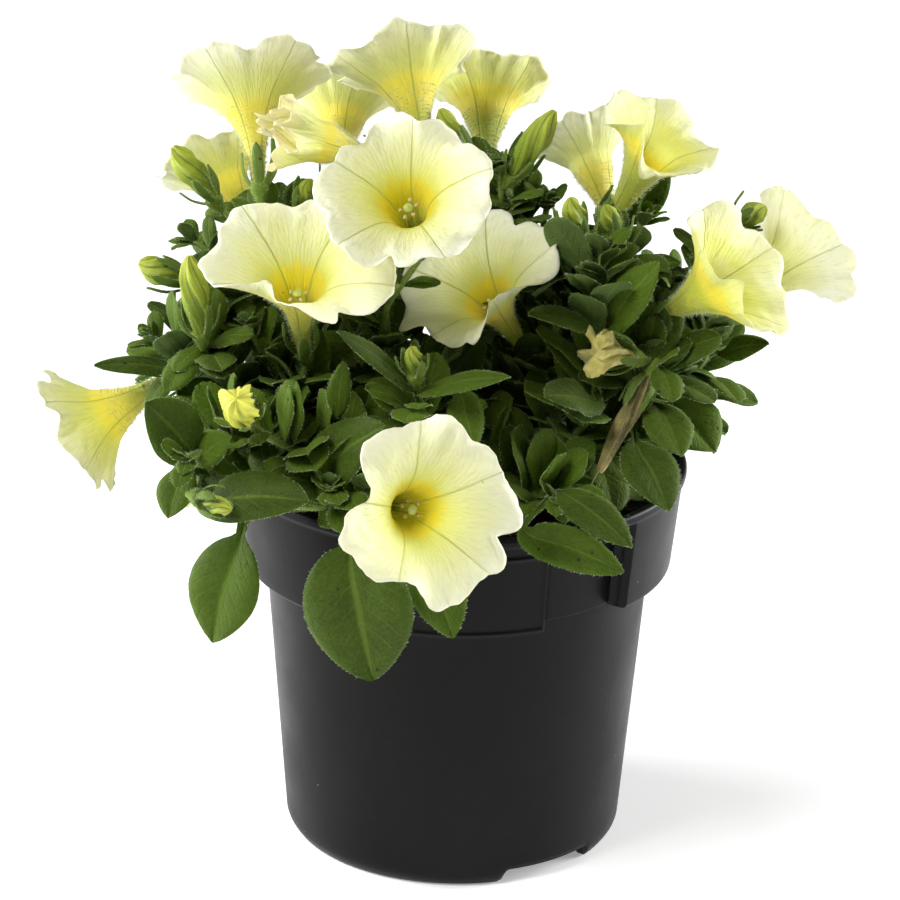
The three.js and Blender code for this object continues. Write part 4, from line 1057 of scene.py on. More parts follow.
@dataclass(frozen=True)
class Wiring:
    """Short calls for building one node tree."""

    tree: bpy.types.NodeTree

    def add(self, kind: str, **settings: object) -> bpy.types.Node:
        """Adds a node and sets its properties."""
        node = self.tree.nodes.new(kind)
        for name, value in settings.items():
            setattr(node, name, value)
        return node

    def out(self, node: bpy.types.Node, name: str | int) -> Value:
        """One output of a node."""
        return Value(self, node.outputs[name])

    def join(self, socket: bpy.types.NodeSocket, source: Source) -> None:
        """Links a socket to a source, or sets it to a number, a colour or a vector."""
        source = source.socket if isinstance(source, Value) else source
        if isinstance(source, bpy.types.NodeSocket):
            self.tree.links.new(source, socket)
        elif isinstance(source, tuple) and socket.type == "RGBA":
            socket.default_value = (*source, 1)
        else:
            socket.default_value = source

    def feed(self, node: bpy.types.Node, **sources: Source) -> None:
        """Feeds inputs of a node by their names, with underscores for spaces."""
        for name, source in sources.items():
            self.join(node.inputs[name.replace("_", " ")], source)

    def feed_row(self, node: bpy.types.Node, *sources: Source) -> None:
        """Feeds the first inputs of a node, in order."""
        for socket, source in zip(node.inputs, sources):
            self.join(socket, source)

    def math(self, operation: str, first: Source, second: Source = 0.0, third: Source = 0.0,
             clamp: bool = False) -> Value:
        """The result of one sum on up to three numbers."""
        node = self.add("ShaderNodeMath", operation=operation, use_clamp=clamp)
        self.feed_row(node, first, second, third)
        return self.out(node, 0)

    def blend(self, factor: Source, first: Source, second: Source) -> Value:
        """Two colours mixed by a factor."""
        node = self.add("ShaderNodeMix", data_type="RGBA")
        for socket, source in zip((node.inputs[0], *node.inputs[6:8]), (factor, first, second)):
            self.join(socket, source)
        return self.out(node, 2)

    def ramp(self, value: Value, *stops: tuple[float, Colour]) -> Value:
        """A colour that runs through stops as its source runs from 0 to 1."""
        node = self.add("ShaderNodeValToRGB")
        elements = node.color_ramp.elements
        while len(elements) < len(stops):
            elements.new(1)
        for element, (place, colour) in zip(elements, stops):
            element.position = place
            element.color = (*colour, 1)
        self.feed_row(node, value)
        return self.out(node, "Color")

    def attribute(self, name: str) -> Value:
        """A number that the mesh carries at its points."""
        return self.out(self.add("ShaderNodeAttribute", attribute_name=name), "Fac")

    def pattern(self) -> tuple[Value, Value]:
        """The two pattern coordinates of the mesh."""
        parts = self.add("ShaderNodeSeparateXYZ")
        self.feed_row(parts, self.out(self.add("ShaderNodeUVMap", uv_map="Pattern"), 0))
        return self.out(parts, 0), self.out(parts, 1)

    def place(self) -> Value:
        """The point on the object, in metres."""
        return self.out(self.add("ShaderNodeTexCoord"), "Object")

    def noise(self, vector: Value, scale: float, detail: float = 2.0) -> Value:
        """Smooth noise from 0 to 1."""
        node = self.add("ShaderNodeTexNoise")
        self.feed(node, Vector=vector, Scale=scale, Detail=detail)
        return self.out(node, "Fac")

    def cells(self, scale: Source) -> tuple[Value, Value]:
        """Cells round scattered points: the distance from the point, and a chance number for each cell."""
        node = self.add("ShaderNodeTexVoronoi")
        self.feed(node, Vector=self.place(), Scale=scale)
        parts = self.add("ShaderNodeSeparateColor")
        self.feed_row(parts, self.out(node, "Color"))
        return self.out(node, "Distance"), self.out(parts, 0)

    def joined(self, first: Source, second: Source) -> Value:
        """A vector from two numbers."""
        node = self.add("ShaderNodeCombineXYZ")
        self.feed_row(node, first, second, 0.0)
        return self.out(node, 0)

    def bump(self, height: Value, distance: float) -> Value:
        """A normal bent by a height."""
        node = self.add("ShaderNodeBump")
        self.feed(node, Height=height, Distance=distance, Strength=1.0)
        return self.out(node, "Normal")

    def group(self, group: bpy.types.NodeTree, **values: float) -> dict[str, Value]:
        """Adds a group with numbers for its inputs, and gives its outputs by name."""
        node = self.add("ShaderNodeGroup", node_tree=group)
        self.feed(node, **values)
        return {socket.name: Value(self, socket) for socket in node.outputs}


def node_group(name: str, inputs: tuple[str, ...], outputs: tuple[str, ...]) -> tuple:
    """Makes a node group of numbers with its input and output nodes.

    Args:
        name: the group's name.
        inputs: names of its inputs.
        outputs: names of its outputs.

    Returns:
        The group, its wiring, its input node and its output node.
    """
    group = bpy.data.node_groups.new(name, "ShaderNodeTree")
    for label in inputs:
        group.interface.new_socket(label, in_out="INPUT", socket_type="NodeSocketFloat")
    for label in outputs:
        group.interface.new_socket(label, in_out="OUTPUT", socket_type="NodeSocketFloat")
    wiring = Wiring(group)
    return group, wiring, wiring.add("NodeGroupInput"), wiring.add("NodeGroupOutput")


class SharedPatterns:
    """Patterns that several finishes use, each built once as a node group."""

    def __init__(self) -> None:
        """Builds the groups."""
        self.specks = self._specks()
        self.leaf_veins = self._leaf_veins()
        self.petal_veins = self._petal_veins()

    def _specks(self) -> bpy.types.NodeTree:
        """Small sparse specks: the middles of cells, in cells whose own chance is low."""
        group, wiring, start, end = node_group("Specks", ("Cells per metre", "Size", "Share"), ("Mask",))
        distance, chance = wiring.cells(wiring.out(start, "Cells per metre"))
        small, chosen = distance.below(wiring.out(start, "Size")), chance.below(wiring.out(start, "Share"))
        wiring.feed(end, Mask=small * chosen)
        return group

    def _leaf_veins(self) -> bpy.types.NodeTree:
        """A blade's midrib and side veins, from its pattern coordinates.

        The side veins are the lines where the place along the blade, less a third of the offset, times
        their number is a whole number.
        """
        group, wiring, start, end = node_group("LeafVeins", ("Number",), ("Midrib", "Side", "Net"))
        across, along = wiring.pattern()
        offset = wiring.math("ABSOLUTE", across.times_plus(2.0, -1.0))
        wobble = wiring.noise(wiring.joined(across, along), VEIN_WOBBLE_SCALE) * VEIN_WOBBLE
        line = ((along - offset * VEIN_SLANT + wobble) * wiring.out(start, "Number")).zigzag(0.5)
        net = wiring.add("ShaderNodeTexVoronoi", feature="DISTANCE_TO_EDGE")
        wiring.feed(net, Vector=wiring.place(), Scale=VEIN_NET_CELLS)
        wiring.feed(end, Midrib=offset.span(0.1, 0.02), Side=line.span(0.1, 0.01) * offset.span(1.0, 0.55),
                    Net=wiring.out(net, "Distance").span(0.1, 0.0))
        return group

    def _petal_veins(self) -> bpy.types.NodeTree:
        """A bloom's veins, from its pattern coordinates: turns of a fifth across, and radius shares along.

        The main veins lie where the turn is a whole number. Side veins leave them at a slant, where the
        share times their number, less the turn's distance, is whole. The fine veins are a slim noise drawn
        out along the petal.
        """
        group, wiring, _, end = node_group("PetalVeins", (), ("Share", "Inside", "Main", "Side", "Fine"))
        turn, along = wiring.pattern()
        share, to_main = along.zigzag(1.0), turn.zigzag(0.5)
        slant = share * PETAL_SIDE_VEINS - to_main * PETAL_VEIN_SLANT
        cloud = wiring.noise(wiring.joined(turn, share * 3.0), 2.2, 1.5)
        line = cloud.times_plus(2.2, slant).zigzag(0.5)
        stretched = wiring.joined(turn * PETAL_STREAKS, share * 7.0)
        wiring.feed(end, Share=share, Inside=wiring.math("GREATER_THAN", along, 1.0),
                    Main=(to_main * share).span(0.011, 0.002), Side=line.span(0.15, 0.01),
                    Fine=wiring.noise(stretched, 1.0, 5.0))
        return group


@dataclass(frozen=True)
class Finish:
    """A finish of the object. Each kind says in its own `wire` how its shader is fed."""

    name: str

    def start(self) -> tuple[bpy.types.Material, Wiring, bpy.types.Node]:
        """Makes the material with an empty principled shader."""
        made = bpy.data.materials.new(self.name)
        made.use_nodes = True
        made.node_tree.nodes.clear()
        wiring = Wiring(made.node_tree)
        shader = wiring.add("ShaderNodeBsdfPrincipled")
        wiring.feed(wiring.add("ShaderNodeOutputMaterial"), Surface=wiring.out(shader, 0))
        return made, wiring, shader

    def wire(self, wiring: Wiring, shader: bpy.types.Node, shared: SharedPatterns) -> None:
        """Feeds the shader of this kind of finish."""
        raise NotImplementedError

    def make(self, shared: SharedPatterns) -> bpy.types.Material:
        """Makes the material."""
        made, wiring, shader = self.start()
        self.wire(wiring, shader, shared)
        return made


@dataclass(frozen=True)
class Specks:
    """Specks on a finish: cells in a metre, a speck's size in its cell, their share, colour, strength."""

    cells: float
    size: float
    share: float
    colour: Colour
    strength: float = 1.0

    def over(self, wiring: Wiring, shared: SharedPatterns, colour: Value) -> Value:
        """The colour with the specks on it."""
        made = wiring.group(shared.specks, Cells_per_metre=self.cells, Size=self.size, Share=self.share)
        mask = made["Mask"]
        return wiring.blend(mask * self.strength if self.strength < 1 else mask, colour, self.colour)


@dataclass(frozen=True)
class LeafFinish(Finish):
    """Hairy green leaves: darker old blades, lighter young ones, with pale veins and a matt underside."""

    dark: Colour
    light: Colour
    vein: Colour
    under: Colour
    number: float = 7.0
    rough: float = 0.56
    sheen: float = 0.13
    mottle: float = 160.0
    grain: float = 900.0
    midrib: float = 0.5
    relief: float = 0.00035
    specks: Specks = Specks(260.0, 0.16, 0.09, (0.02, 0.018, 0.01), 0.8)

    def wire(self, wiring: Wiring, shader: bpy.types.Node, shared: SharedPatterns) -> None:
        """Feeds the shader."""
        veins = wiring.group(shared.leaf_veins, Number=self.number)
        mottle = wiring.noise(wiring.place(), self.mottle, 3.0)
        fine = wiring.noise(wiring.place(), self.grain)
        age = wiring.attribute("Tone").span(0.15, 0.85, 0.02, 0.95)
        top = wiring.blend((mottle - 0.5).times_plus(0.6, age, clamp=True), self.dark, self.light)
        midrib = veins["Midrib"] * self.midrib
        for share in (fine.span(0.35, 0.7, 0.0, 0.16), veins["Side"] * 0.1, veins["Net"] * 0.05, midrib):
            top = wiring.blend(share, top, self.vein)
        under = wiring.blend(midrib, self.under, self.vein)
        colour = self.specks.over(wiring, shared, wiring.blend(wiring.attribute("Under"), top, under))
        relief = (veins["Side"] + veins["Midrib"]) * -0.4 + veins["Net"] * -0.25 + fine * 0.5
        wiring.feed(shader, Base_Color=colour, Normal=wiring.bump(relief, self.relief),
                    Roughness=fine.span(0.2, 0.8, self.rough - 0.07, self.rough + 0.1),
                    Specular_IOR_Level=0.13, Subsurface_Weight=0.12, Subsurface_Radius=(0.6, 1.0, 0.2),
                    Subsurface_Scale=0.0012, Sheen_Weight=self.sheen, Sheen_Roughness=0.45,
                    Sheen_Tint=(0.65, 0.95, 0.3))


@dataclass(frozen=True)
class PetalFinish(Finish):
    """A cream to yellow petal: gold in the throat, olive deep inside, greenish veins and a paler back."""

    edge: Colour = (0.83, 0.83, 0.60)
    body: Colour = (0.80, 0.81, 0.36)
    inner: Colour = (0.76, 0.77, 0.16)
    gold: Colour = (0.92, 0.71, 0.015)
    deep: Colour = (0.52, 0.50, 0.015)
    vein: Colour = (0.66, 0.69, 0.12)
    main_vein: Colour = (0.56, 0.61, 0.08)
    back: Colour = (0.70, 0.73, 0.30)
    back_low: Colour = (0.70, 0.71, 0.17)
    tube: Colour = (0.48, 0.53, 0.05)
    glow: Colour = (0.84, 0.70, 0.06)
    line: Colour = (0.40, 0.48, 0.05)
    brown: Colour = (0.46, 0.30, 0.12)
    wither: float = 0.0
    raggedness: float = 0.24
    paleness: float = 0.3
    relief: float = 0.0004
    specks: Specks = Specks(170.0, 0.05, 0.1, (0.05, 0.04, 0.02), 0.7)

    def _front(self, wiring: Wiring, veins: dict[str, Value], fine: Value) -> Value:
        """The inner face: from the deep throat through gold to the pale edge, with its veins."""
        share, towards_throat = veins["Share"], (1.0, 0.4)
        ragged = share + (veins["Fine"] - 0.5) * self.raggedness
        front = wiring.ramp(wiring.attribute("Tone").times_plus(self.paleness, ragged),
                            (0.32, self.inner), (0.54, self.body), (1.0, self.edge))
        front = wiring.blend(wiring.noise(wiring.place(), 90.0).span(0.4, 0.7, 0.0, 0.3), front, self.edge)
        throat = wiring.ramp(ragged, (0.13, self.deep), (0.21, self.gold), (0.27, self.gold),
                             (0.34, self.inner))
        front = wiring.blend(ragged.span(0.27, 0.37), throat, front)
        front = wiring.blend(veins["Side"] * share.span(*towards_throat, 0.12, 0.4), front, self.vein)
        front = wiring.blend(fine * share.span(*towards_throat), front, self.vein)
        return wiring.blend(veins["Main"] * share.span(*towards_throat, 0.4, 0.85), front, self.main_vein)

    def _back(self, wiring: Wiring, veins: dict[str, Value], fine: Value) -> Value:
        """The outer face: a green tube that glows yellow higher up, and a paler back with lines."""
        share = veins["Share"]
        back = wiring.ramp(wiring.attribute("Tone").times_plus(self.paleness, share),
                           (0.1, self.tube), (0.22, self.glow), (0.38, self.glow), (0.5, self.back_low),
                           (0.72, self.back), (1.0, self.edge))
        back = wiring.blend(fine * 0.5, back, self.line)
        return wiring.blend(share.span(0.5, 0.3, 0.35, 0.85) * veins["Main"], back, self.line)

    def wire(self, wiring: Wiring, shader: bpy.types.Node, shared: SharedPatterns) -> None:
        """Feeds the shader."""
        veins = wiring.group(shared.petal_veins)
        fine = veins["Fine"].span(0.48, 0.72, 0.0, 0.55)
        faces = self._back(wiring, veins, fine), self._front(wiring, veins, fine)
        colour = wiring.blend(veins["Inside"], *faces)
        blotch = wiring.noise(wiring.place(), 240.0, 3.0).times_plus(0.5, veins["Share"])
        colour = wiring.blend(blotch.span(1.15, 1.4, 0.0, self.wither), colour, self.brown)
        colour = self.specks.over(wiring, shared, colour)
        relief = veins["Side"] * -0.12 + veins["Main"] * -0.8 + veins["Fine"] * 0.9
        # The petals glow faintly in their own colour: painted light, standing in for light that shines
        # through them.
        wiring.feed(shader, Base_Color=colour, Roughness=veins["Fine"].span(0.3, 0.7, 0.5, 0.62),
                    Normal=wiring.bump(relief, self.relief), Emission_Color=colour, Emission_Strength=0.04,
                    Subsurface_Weight=0.25, Subsurface_Radius=(1.0, 0.9, 0.35), Subsurface_Scale=0.002,
                    Sheen_Weight=0.15, Sheen_Roughness=0.5)


@dataclass(frozen=True)
class TintFinish(Finish):
    """A plain plant tissue: two colours mottled by coarse and fine noise."""

    first: Colour
    second: Colour
    grain: float = 500.0
    rough: float = 0.6
    relief: float = 0.0002
    sheen: float = 0.2

    def wire(self, wiring: Wiring, shader: bpy.types.Node, shared: SharedPatterns) -> None:
        """Feeds the shader."""
        coarse = wiring.noise(wiring.place(), self.grain * 0.3)
        fine = wiring.noise(wiring.place(), self.grain, 3.0)
        colour = wiring.blend((coarse * 0.6 + fine * 0.4).span(0.35, 0.65), self.first, self.second)
        wiring.feed(shader, Base_Color=colour, Normal=wiring.bump(fine, self.relief), Sheen_Weight=self.sheen,
                    Roughness=fine.span(0.2, 0.8, self.rough - 0.06, self.rough + 0.08))


@dataclass(frozen=True)
class BudFinish(Finish):
    """A closed corolla: green ribs in the grooves between paler bands, which turn yellower to the tip."""

    rib: Colour
    band: Colour
    tip: Colour

    def wire(self, wiring: Wiring, shader: bpy.types.Node, shared: SharedPatterns) -> None:
        """Feeds the shader."""
        turn, share = wiring.pattern()
        cloud = wiring.noise(wiring.place(), 420.0, 3.0)
        grain = wiring.noise(wiring.joined(turn * 16.0, share * 5.0), 1.0, 3.0)
        colour = wiring.blend(cloud.times_plus(0.4, share).span(0.5, 1.15), self.band, self.tip)
        groove = grain.times_plus(0.16, turn.zigzag(0.5))
        colour = wiring.blend(groove.span(0.42, 0.58, 0.0, 0.7), colour, self.rib)
        colour = wiring.blend(grain.span(0.5, 0.75, 0.0, 0.35), colour, self.rib)
        wiring.feed(shader, Base_Color=colour, Roughness=cloud.span(0.3, 0.7, 0.5, 0.62),
                    Normal=wiring.bump(grain, 0.0003), Subsurface_Weight=0.15,
                    Subsurface_Radius=(0.9, 1.0, 0.3), Subsurface_Scale=0.0015)


@dataclass(frozen=True)
class PotFinish(Finish):
    """Dark satin plastic with a fine grain, faint flow marks and a little dust."""

    name: str = "pot_plastic"
    body: Colour = (0.0035, 0.0034, 0.0034)
    dust: Colour = (0.012, 0.0115, 0.011)
    flow: float = 45.0
    grain: float = 1600.0
    specks: Specks = Specks(240.0, 0.07, 0.06, (0.16, 0.13, 0.11))

    def wire(self, wiring: Wiring, shader: bpy.types.Node, shared: SharedPatterns) -> None:
        """Feeds the shader."""
        cloud, grain = wiring.noise(wiring.place(), self.flow, 4.0), wiring.noise(wiring.place(), self.grain)
        colour = wiring.blend(cloud.span(0.45, 0.8, 0.0, 0.3), self.body, self.dust)
        wiring.feed(shader, Base_Color=self.specks.over(wiring, shared, colour), Specular_IOR_Level=0.13,
                    Roughness=cloud.span(0.3, 0.75, 0.34, 0.46), Normal=wiring.bump(grain, 0.00005))


@dataclass(frozen=True)
class SoilFinish(Finish):
    """Dark potting soil: peat crumbs between two browns, and pale grains."""

    name: str = "potting_soil"
    dark: Colour = (0.012, 0.008, 0.005)
    light: Colour = (0.06, 0.036, 0.02)
    crumbs: float = 420.0
    grains: Specks = Specks(330.0, 0.3, 0.05, (0.42, 0.38, 0.32))

    def wire(self, wiring: Wiring, shader: bpy.types.Node, shared: SharedPatterns) -> None:
        """Feeds the shader."""
        distance, chance = wiring.cells(self.crumbs)
        colour = self.grains.over(wiring, shared, wiring.blend(chance, self.dark, self.light))
        wiring.feed(shader, Base_Color=colour, Roughness=0.92, Normal=wiring.bump(distance, -0.0012))


class Finishes:
    """All the materials of the object."""

    def __init__(self) -> None:
        """Makes them."""
        shared = SharedPatterns()
        self.leaf = LeafFinish("leaf", dark=(0.028, 0.048, 0.0042), light=(0.078, 0.136, 0.007),
                               vein=(0.14, 0.22, 0.03), under=(0.11, 0.17, 0.045)).make(shared)
        self.sepal = LeafFinish("sepal", dark=(0.07, 0.13, 0.015), light=(0.16, 0.25, 0.03),
                                vein=(0.20, 0.29, 0.06), under=(0.12, 0.19, 0.03), number=3.0).make(shared)
        self.stem = TintFinish("stem", (0.12, 0.20, 0.02), (0.24, 0.34, 0.05), sheen=0.08).make(shared)
        self.hair = TintFinish("hair", (0.62, 0.70, 0.44), (0.76, 0.82, 0.60), relief=0.00002).make(shared)
        self.petal = PetalFinish("petal").make(shared)
        self.withering = PetalFinish("petal_withering", edge=(0.84, 0.78, 0.46), body=(0.82, 0.78, 0.36),
                                     wither=0.75).make(shared)
        self.bud = BudFinish("bud_yellow", rib=(0.34, 0.42, 0.03), band=(0.66, 0.69, 0.08),
                             tip=(0.80, 0.79, 0.12)).make(shared)
        self.young = BudFinish("bud_green", rib=(0.07, 0.15, 0.01), band=(0.24, 0.33, 0.022),
                               tip=(0.42, 0.48, 0.04)).make(shared)
        dry = {"grain": 330.0, "rough": 0.75, "relief": 0.0004}
        self.dried = TintFinish("dried_petal", (0.58, 0.50, 0.10), (0.88, 0.82, 0.34), **dry).make(shared)
        self.spent = TintFinish("spent_petal", (0.15, 0.13, 0.03), (0.42, 0.34, 0.12), **dry).make(shared)
        self.stigma = TintFinish("stigma", (0.42, 0.52, 0.10), (0.62, 0.70, 0.22), 900.0, 0.35).make(shared)
        self.anther = TintFinish("anther", (0.60, 0.46, 0.22), (0.76, 0.64, 0.38), 1200.0, 0.8).make(shared)
        self.pot = PotFinish().make(shared)
        self.soil = SoilFinish().make(shared)


# ---- Putting meshes together ----


@dataclass
class Patch:
    """One closed surface: a grid of points whose columns close on themselves, with a point at each end.

    points has the shape (rows, columns, 3); pattern has one column more, because the pattern's coordinates
    don't close where the points do. Ends are single points that the first and last row fan out from.
    """

    points: Array
    pattern: Array
    start: Array
    end: Array
    material: int = 0
    tone: float = 0.5
    under: Array | float = 0.0

    def flatten(self, offset: int) -> tuple[Array, Array, Array, Array, Array]:
        """The patch as plain arrays.

        Args:
            offset: the number of points that stand before this patch's in the mesh.

        Returns:
            Points, four-sided faces, their pattern corners, three-sided faces and theirs.
        """
        rows, columns, _ = self.points.shape
        row, column = np.meshgrid(np.arange(rows - 1), np.arange(columns), indexing="ij")
        after = (column + 1) % columns
        quads = np.stack([row * columns + column, row * columns + after,
                          (row + 1) * columns + after, (row + 1) * columns + column], -1).reshape(-1, 4)
        quad_pattern = np.stack([self.pattern[row, column], self.pattern[row, column + 1],
                                 self.pattern[row + 1, column + 1], self.pattern[row + 1, column]], 2)
        ring = np.arange(columns)
        last = (rows - 1) * columns
        first_tip, last_tip = rows * columns, rows * columns + 1
        opening = np.stack([ring * 0 + first_tip, (ring + 1) % columns, ring], -1)
        closing = np.stack([ring * 0 + last_tip, last + ring, last + (ring + 1) % columns], -1)
        first, final = self.pattern[0], self.pattern[-1]
        middle_first = (first[:-1] + first[1:]) / 2
        middle_final = (final[:-1] + final[1:]) / 2
        opening_pattern = np.stack([middle_first, first[1:], first[:-1]], 1)
        closing_pattern = np.stack([middle_final, final[:-1], final[1:]], 1)
        triangles = np.vstack([opening, closing]) + offset
        corners = np.vstack([opening_pattern, closing_pattern])
        points = np.vstack([self.points.reshape(-1, 3), self.start[None], self.end[None]])
        return points, quads + offset, quad_pattern.reshape(-1, 4, 2), triangles, corners

    def under_values(self) -> Array:
        """How far each point belongs to the under side, from 0 to 1."""
        values = np.broadcast_to(np.asarray(self.under, float), self.points.shape[:2]).reshape(-1)
        return np.concatenate([values, values[:1], values[-1:]])


@dataclass
class Piece:
    """A named piece of the object: patches and spikes gathered into one mesh."""

    name: str
    materials: list[bpy.types.Material]
    slot: str
    patches: list[Patch] = field(default_factory=list)
    spikes: list[tuple[Array, int]] = field(default_factory=list)

    def add(self, *patches: Patch) -> None:
        """Adds closed surfaces."""
        self.patches.extend(patches)

    def sprout(self, roots: Array, ways: Array, lengths: Array, material: int, thickness: float) -> None:
        """Adds fine hairs, each a slim three-sided spike.

        A spike's foot is a triangle round its root, in the plane square to its way, and its tip lies one
        length along its way.

        Args:
            roots: the hairs' roots, as an array of points.
            ways: the hairs' unit directions.
            lengths: the hairs' lengths.
            material: index of their material on this piece.
            thickness: radius of their feet.
        """
        hint = np.where(np.abs(ways[:, 2:]) > 0.9, [[0.0, 1.0, 0.0]], [[0.0, 0.0, 1.0]])
        right = unit(np.cross(hint, ways))
        up = np.cross(ways, right)
        angle = turns(3)
        foot = (roots[:, None] + thickness * (right[:, None] * np.cos(angle)[:, None]
                                              + up[:, None] * np.sin(angle)[:, None]))
        tip = roots + ways * lengths[:, None]
        self.spikes.append((np.concatenate([foot, tip[:, None]], 1), material))

    def build(self) -> bpy.types.Object:
        """Makes the Blender object: it rides on the root body and takes the place of its node."""
        points, quads, quad_pattern, triangles, corner_pattern = [], [], [], [], []
        tone, under, quad_slot, triangle_slot = [], [], [], []
        offset = 0
        for patch in self.patches:
            part, fours, four_pattern, threes, three_pattern = patch.flatten(offset)
            offset += len(part)
            points.append(part)
            quads.append(fours)
            quad_pattern.append(four_pattern)
            triangles.append(threes)
            corner_pattern.append(three_pattern)
            tone.append(np.full(len(part), patch.tone))
            under.append(patch.under_values())
            quad_slot.append(np.full(len(fours), patch.material))
            triangle_slot.append(np.full(len(threes), patch.material))
        for spikes, material in self.spikes:
            count = len(spikes)
            first = offset + 4 * np.arange(count)[:, None, None]
            faces = (first + np.array([[0, 2, 1], [0, 1, 3], [1, 2, 3], [2, 0, 3]])).reshape(-1, 3)
            offset += 4 * count
            points.append(spikes.reshape(-1, 3))
            triangles.append(faces)
            corner_pattern.append(np.zeros((len(faces), 3, 2)))
            tone.append(np.full(4 * count, 0.5))
            under.append(np.zeros(4 * count))
            triangle_slot.append(np.full(len(faces), material))
        mesh = bpy.data.meshes.new(self.name)
        faces = np.vstack(quads).tolist() + np.vstack(triangles).tolist()
        mesh.from_pydata(np.vstack(points) * MM, [], faces)
        pattern = np.concatenate([np.vstack(quad_pattern).reshape(-1), np.vstack(corner_pattern).reshape(-1)])
        mesh.uv_layers.new(name="Pattern").data.foreach_set("uv", pattern)
        mesh.attributes.new("Tone", "FLOAT", "POINT").data.foreach_set("value", np.concatenate(tone))
        mesh.attributes.new("Under", "FLOAT", "POINT").data.foreach_set("value", np.concatenate(under))
        mesh.polygons.foreach_set("material_index", np.concatenate(quad_slot + triangle_slot))
        mesh.polygons.foreach_set("use_smooth", np.ones(len(mesh.polygons), bool))
        for material in self.materials:
            mesh.materials.append(material)
        point_outwards(mesh)
        made = bpy.data.objects.new(self.name + "_fine", mesh)
        bpy.context.scene.collection.objects.link(made)
        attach(made, "root")
        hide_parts(self.name)
        log.info("%s: %d faces", made.name, len(mesh.polygons))
        return made


def point_outwards(mesh: bpy.types.Mesh) -> None:
    """Turns the faces of each closed surface of a mesh outwards."""
    work = bmesh.new()
    work.from_mesh(mesh)
    bmesh.ops.recalc_face_normals(work, faces=work.faces)
    work.to_mesh(mesh)
    work.free()


def closed_pattern(across: Array, along: Array) -> Array:
    """Pattern coordinates of a wrapped grid from its columns' and its rows' values."""
    return np.stack(np.broadcast_arrays(across[None, :], along[:, None]), -1)


def swept(curve: Curve, radii: Array, shares: Array, sides: int, material: int, tone: float = 0.5) -> Patch:
    """A round stem along a curve.

    Each row is a circle in the plane square to the curve, and its first direction is carried from row to
    row with the part along the curve taken out.

    Args:
        curve: the centre line.
        radii: the radius at each row.
        shares: the place of each row along the curve.
        sides: points round each row.
        material: index of the material on the piece.
        tone: the patch's tone.

    Returns:
        The stem's patch.
    """
    centre = curve.at(shares)
    forward = curve.tangent(shares)
    normal = cross_axes(forward[0])[0]
    rows = []
    for way in forward:
        normal = unit(normal - way * (normal @ way))
        rows.append(normal)
    right = np.array(rows)
    up = np.cross(forward, right)
    angle = turns(sides)
    circle = right[:, None] * np.cos(angle)[:, None] + up[:, None] * np.sin(angle)[:, None]
    points = centre[:, None] + circle * radii[:, None, None]
    pattern = closed_pattern(np.arange(sides + 1) / sides, shares)
    start, end = centre[0] - forward[0] * SWEPT_CAP, centre[-1] + forward[-1] * SWEPT_CAP
    return Patch(points, pattern, start, end, material, tone)


def turned_about(base: Array, axis: Array, radius: Array, height: Array, angle: Array) -> Array:
    """Points round an axis: radius and height are arrays over rows and angles."""
    right, up = cross_axes(axis)
    spokes = right * np.cos(angle)[:, None] + up * np.sin(angle)[:, None]
    return base + axis * height[..., None] + spokes[None] * radius[..., None]


def ringed(base: Array, axis: Array, radii: Array, heights: Array, columns: int) -> Array:
    """Points of round rings on an axis, one ring for each radius and height."""
    shape = (len(radii), columns)
    grids = (np.broadcast_to(values[:, None], shape) for values in (radii, heights))
    return turned_about(base, axis, *grids, turns(columns))


# ---- Leaves, stems and calyces ----


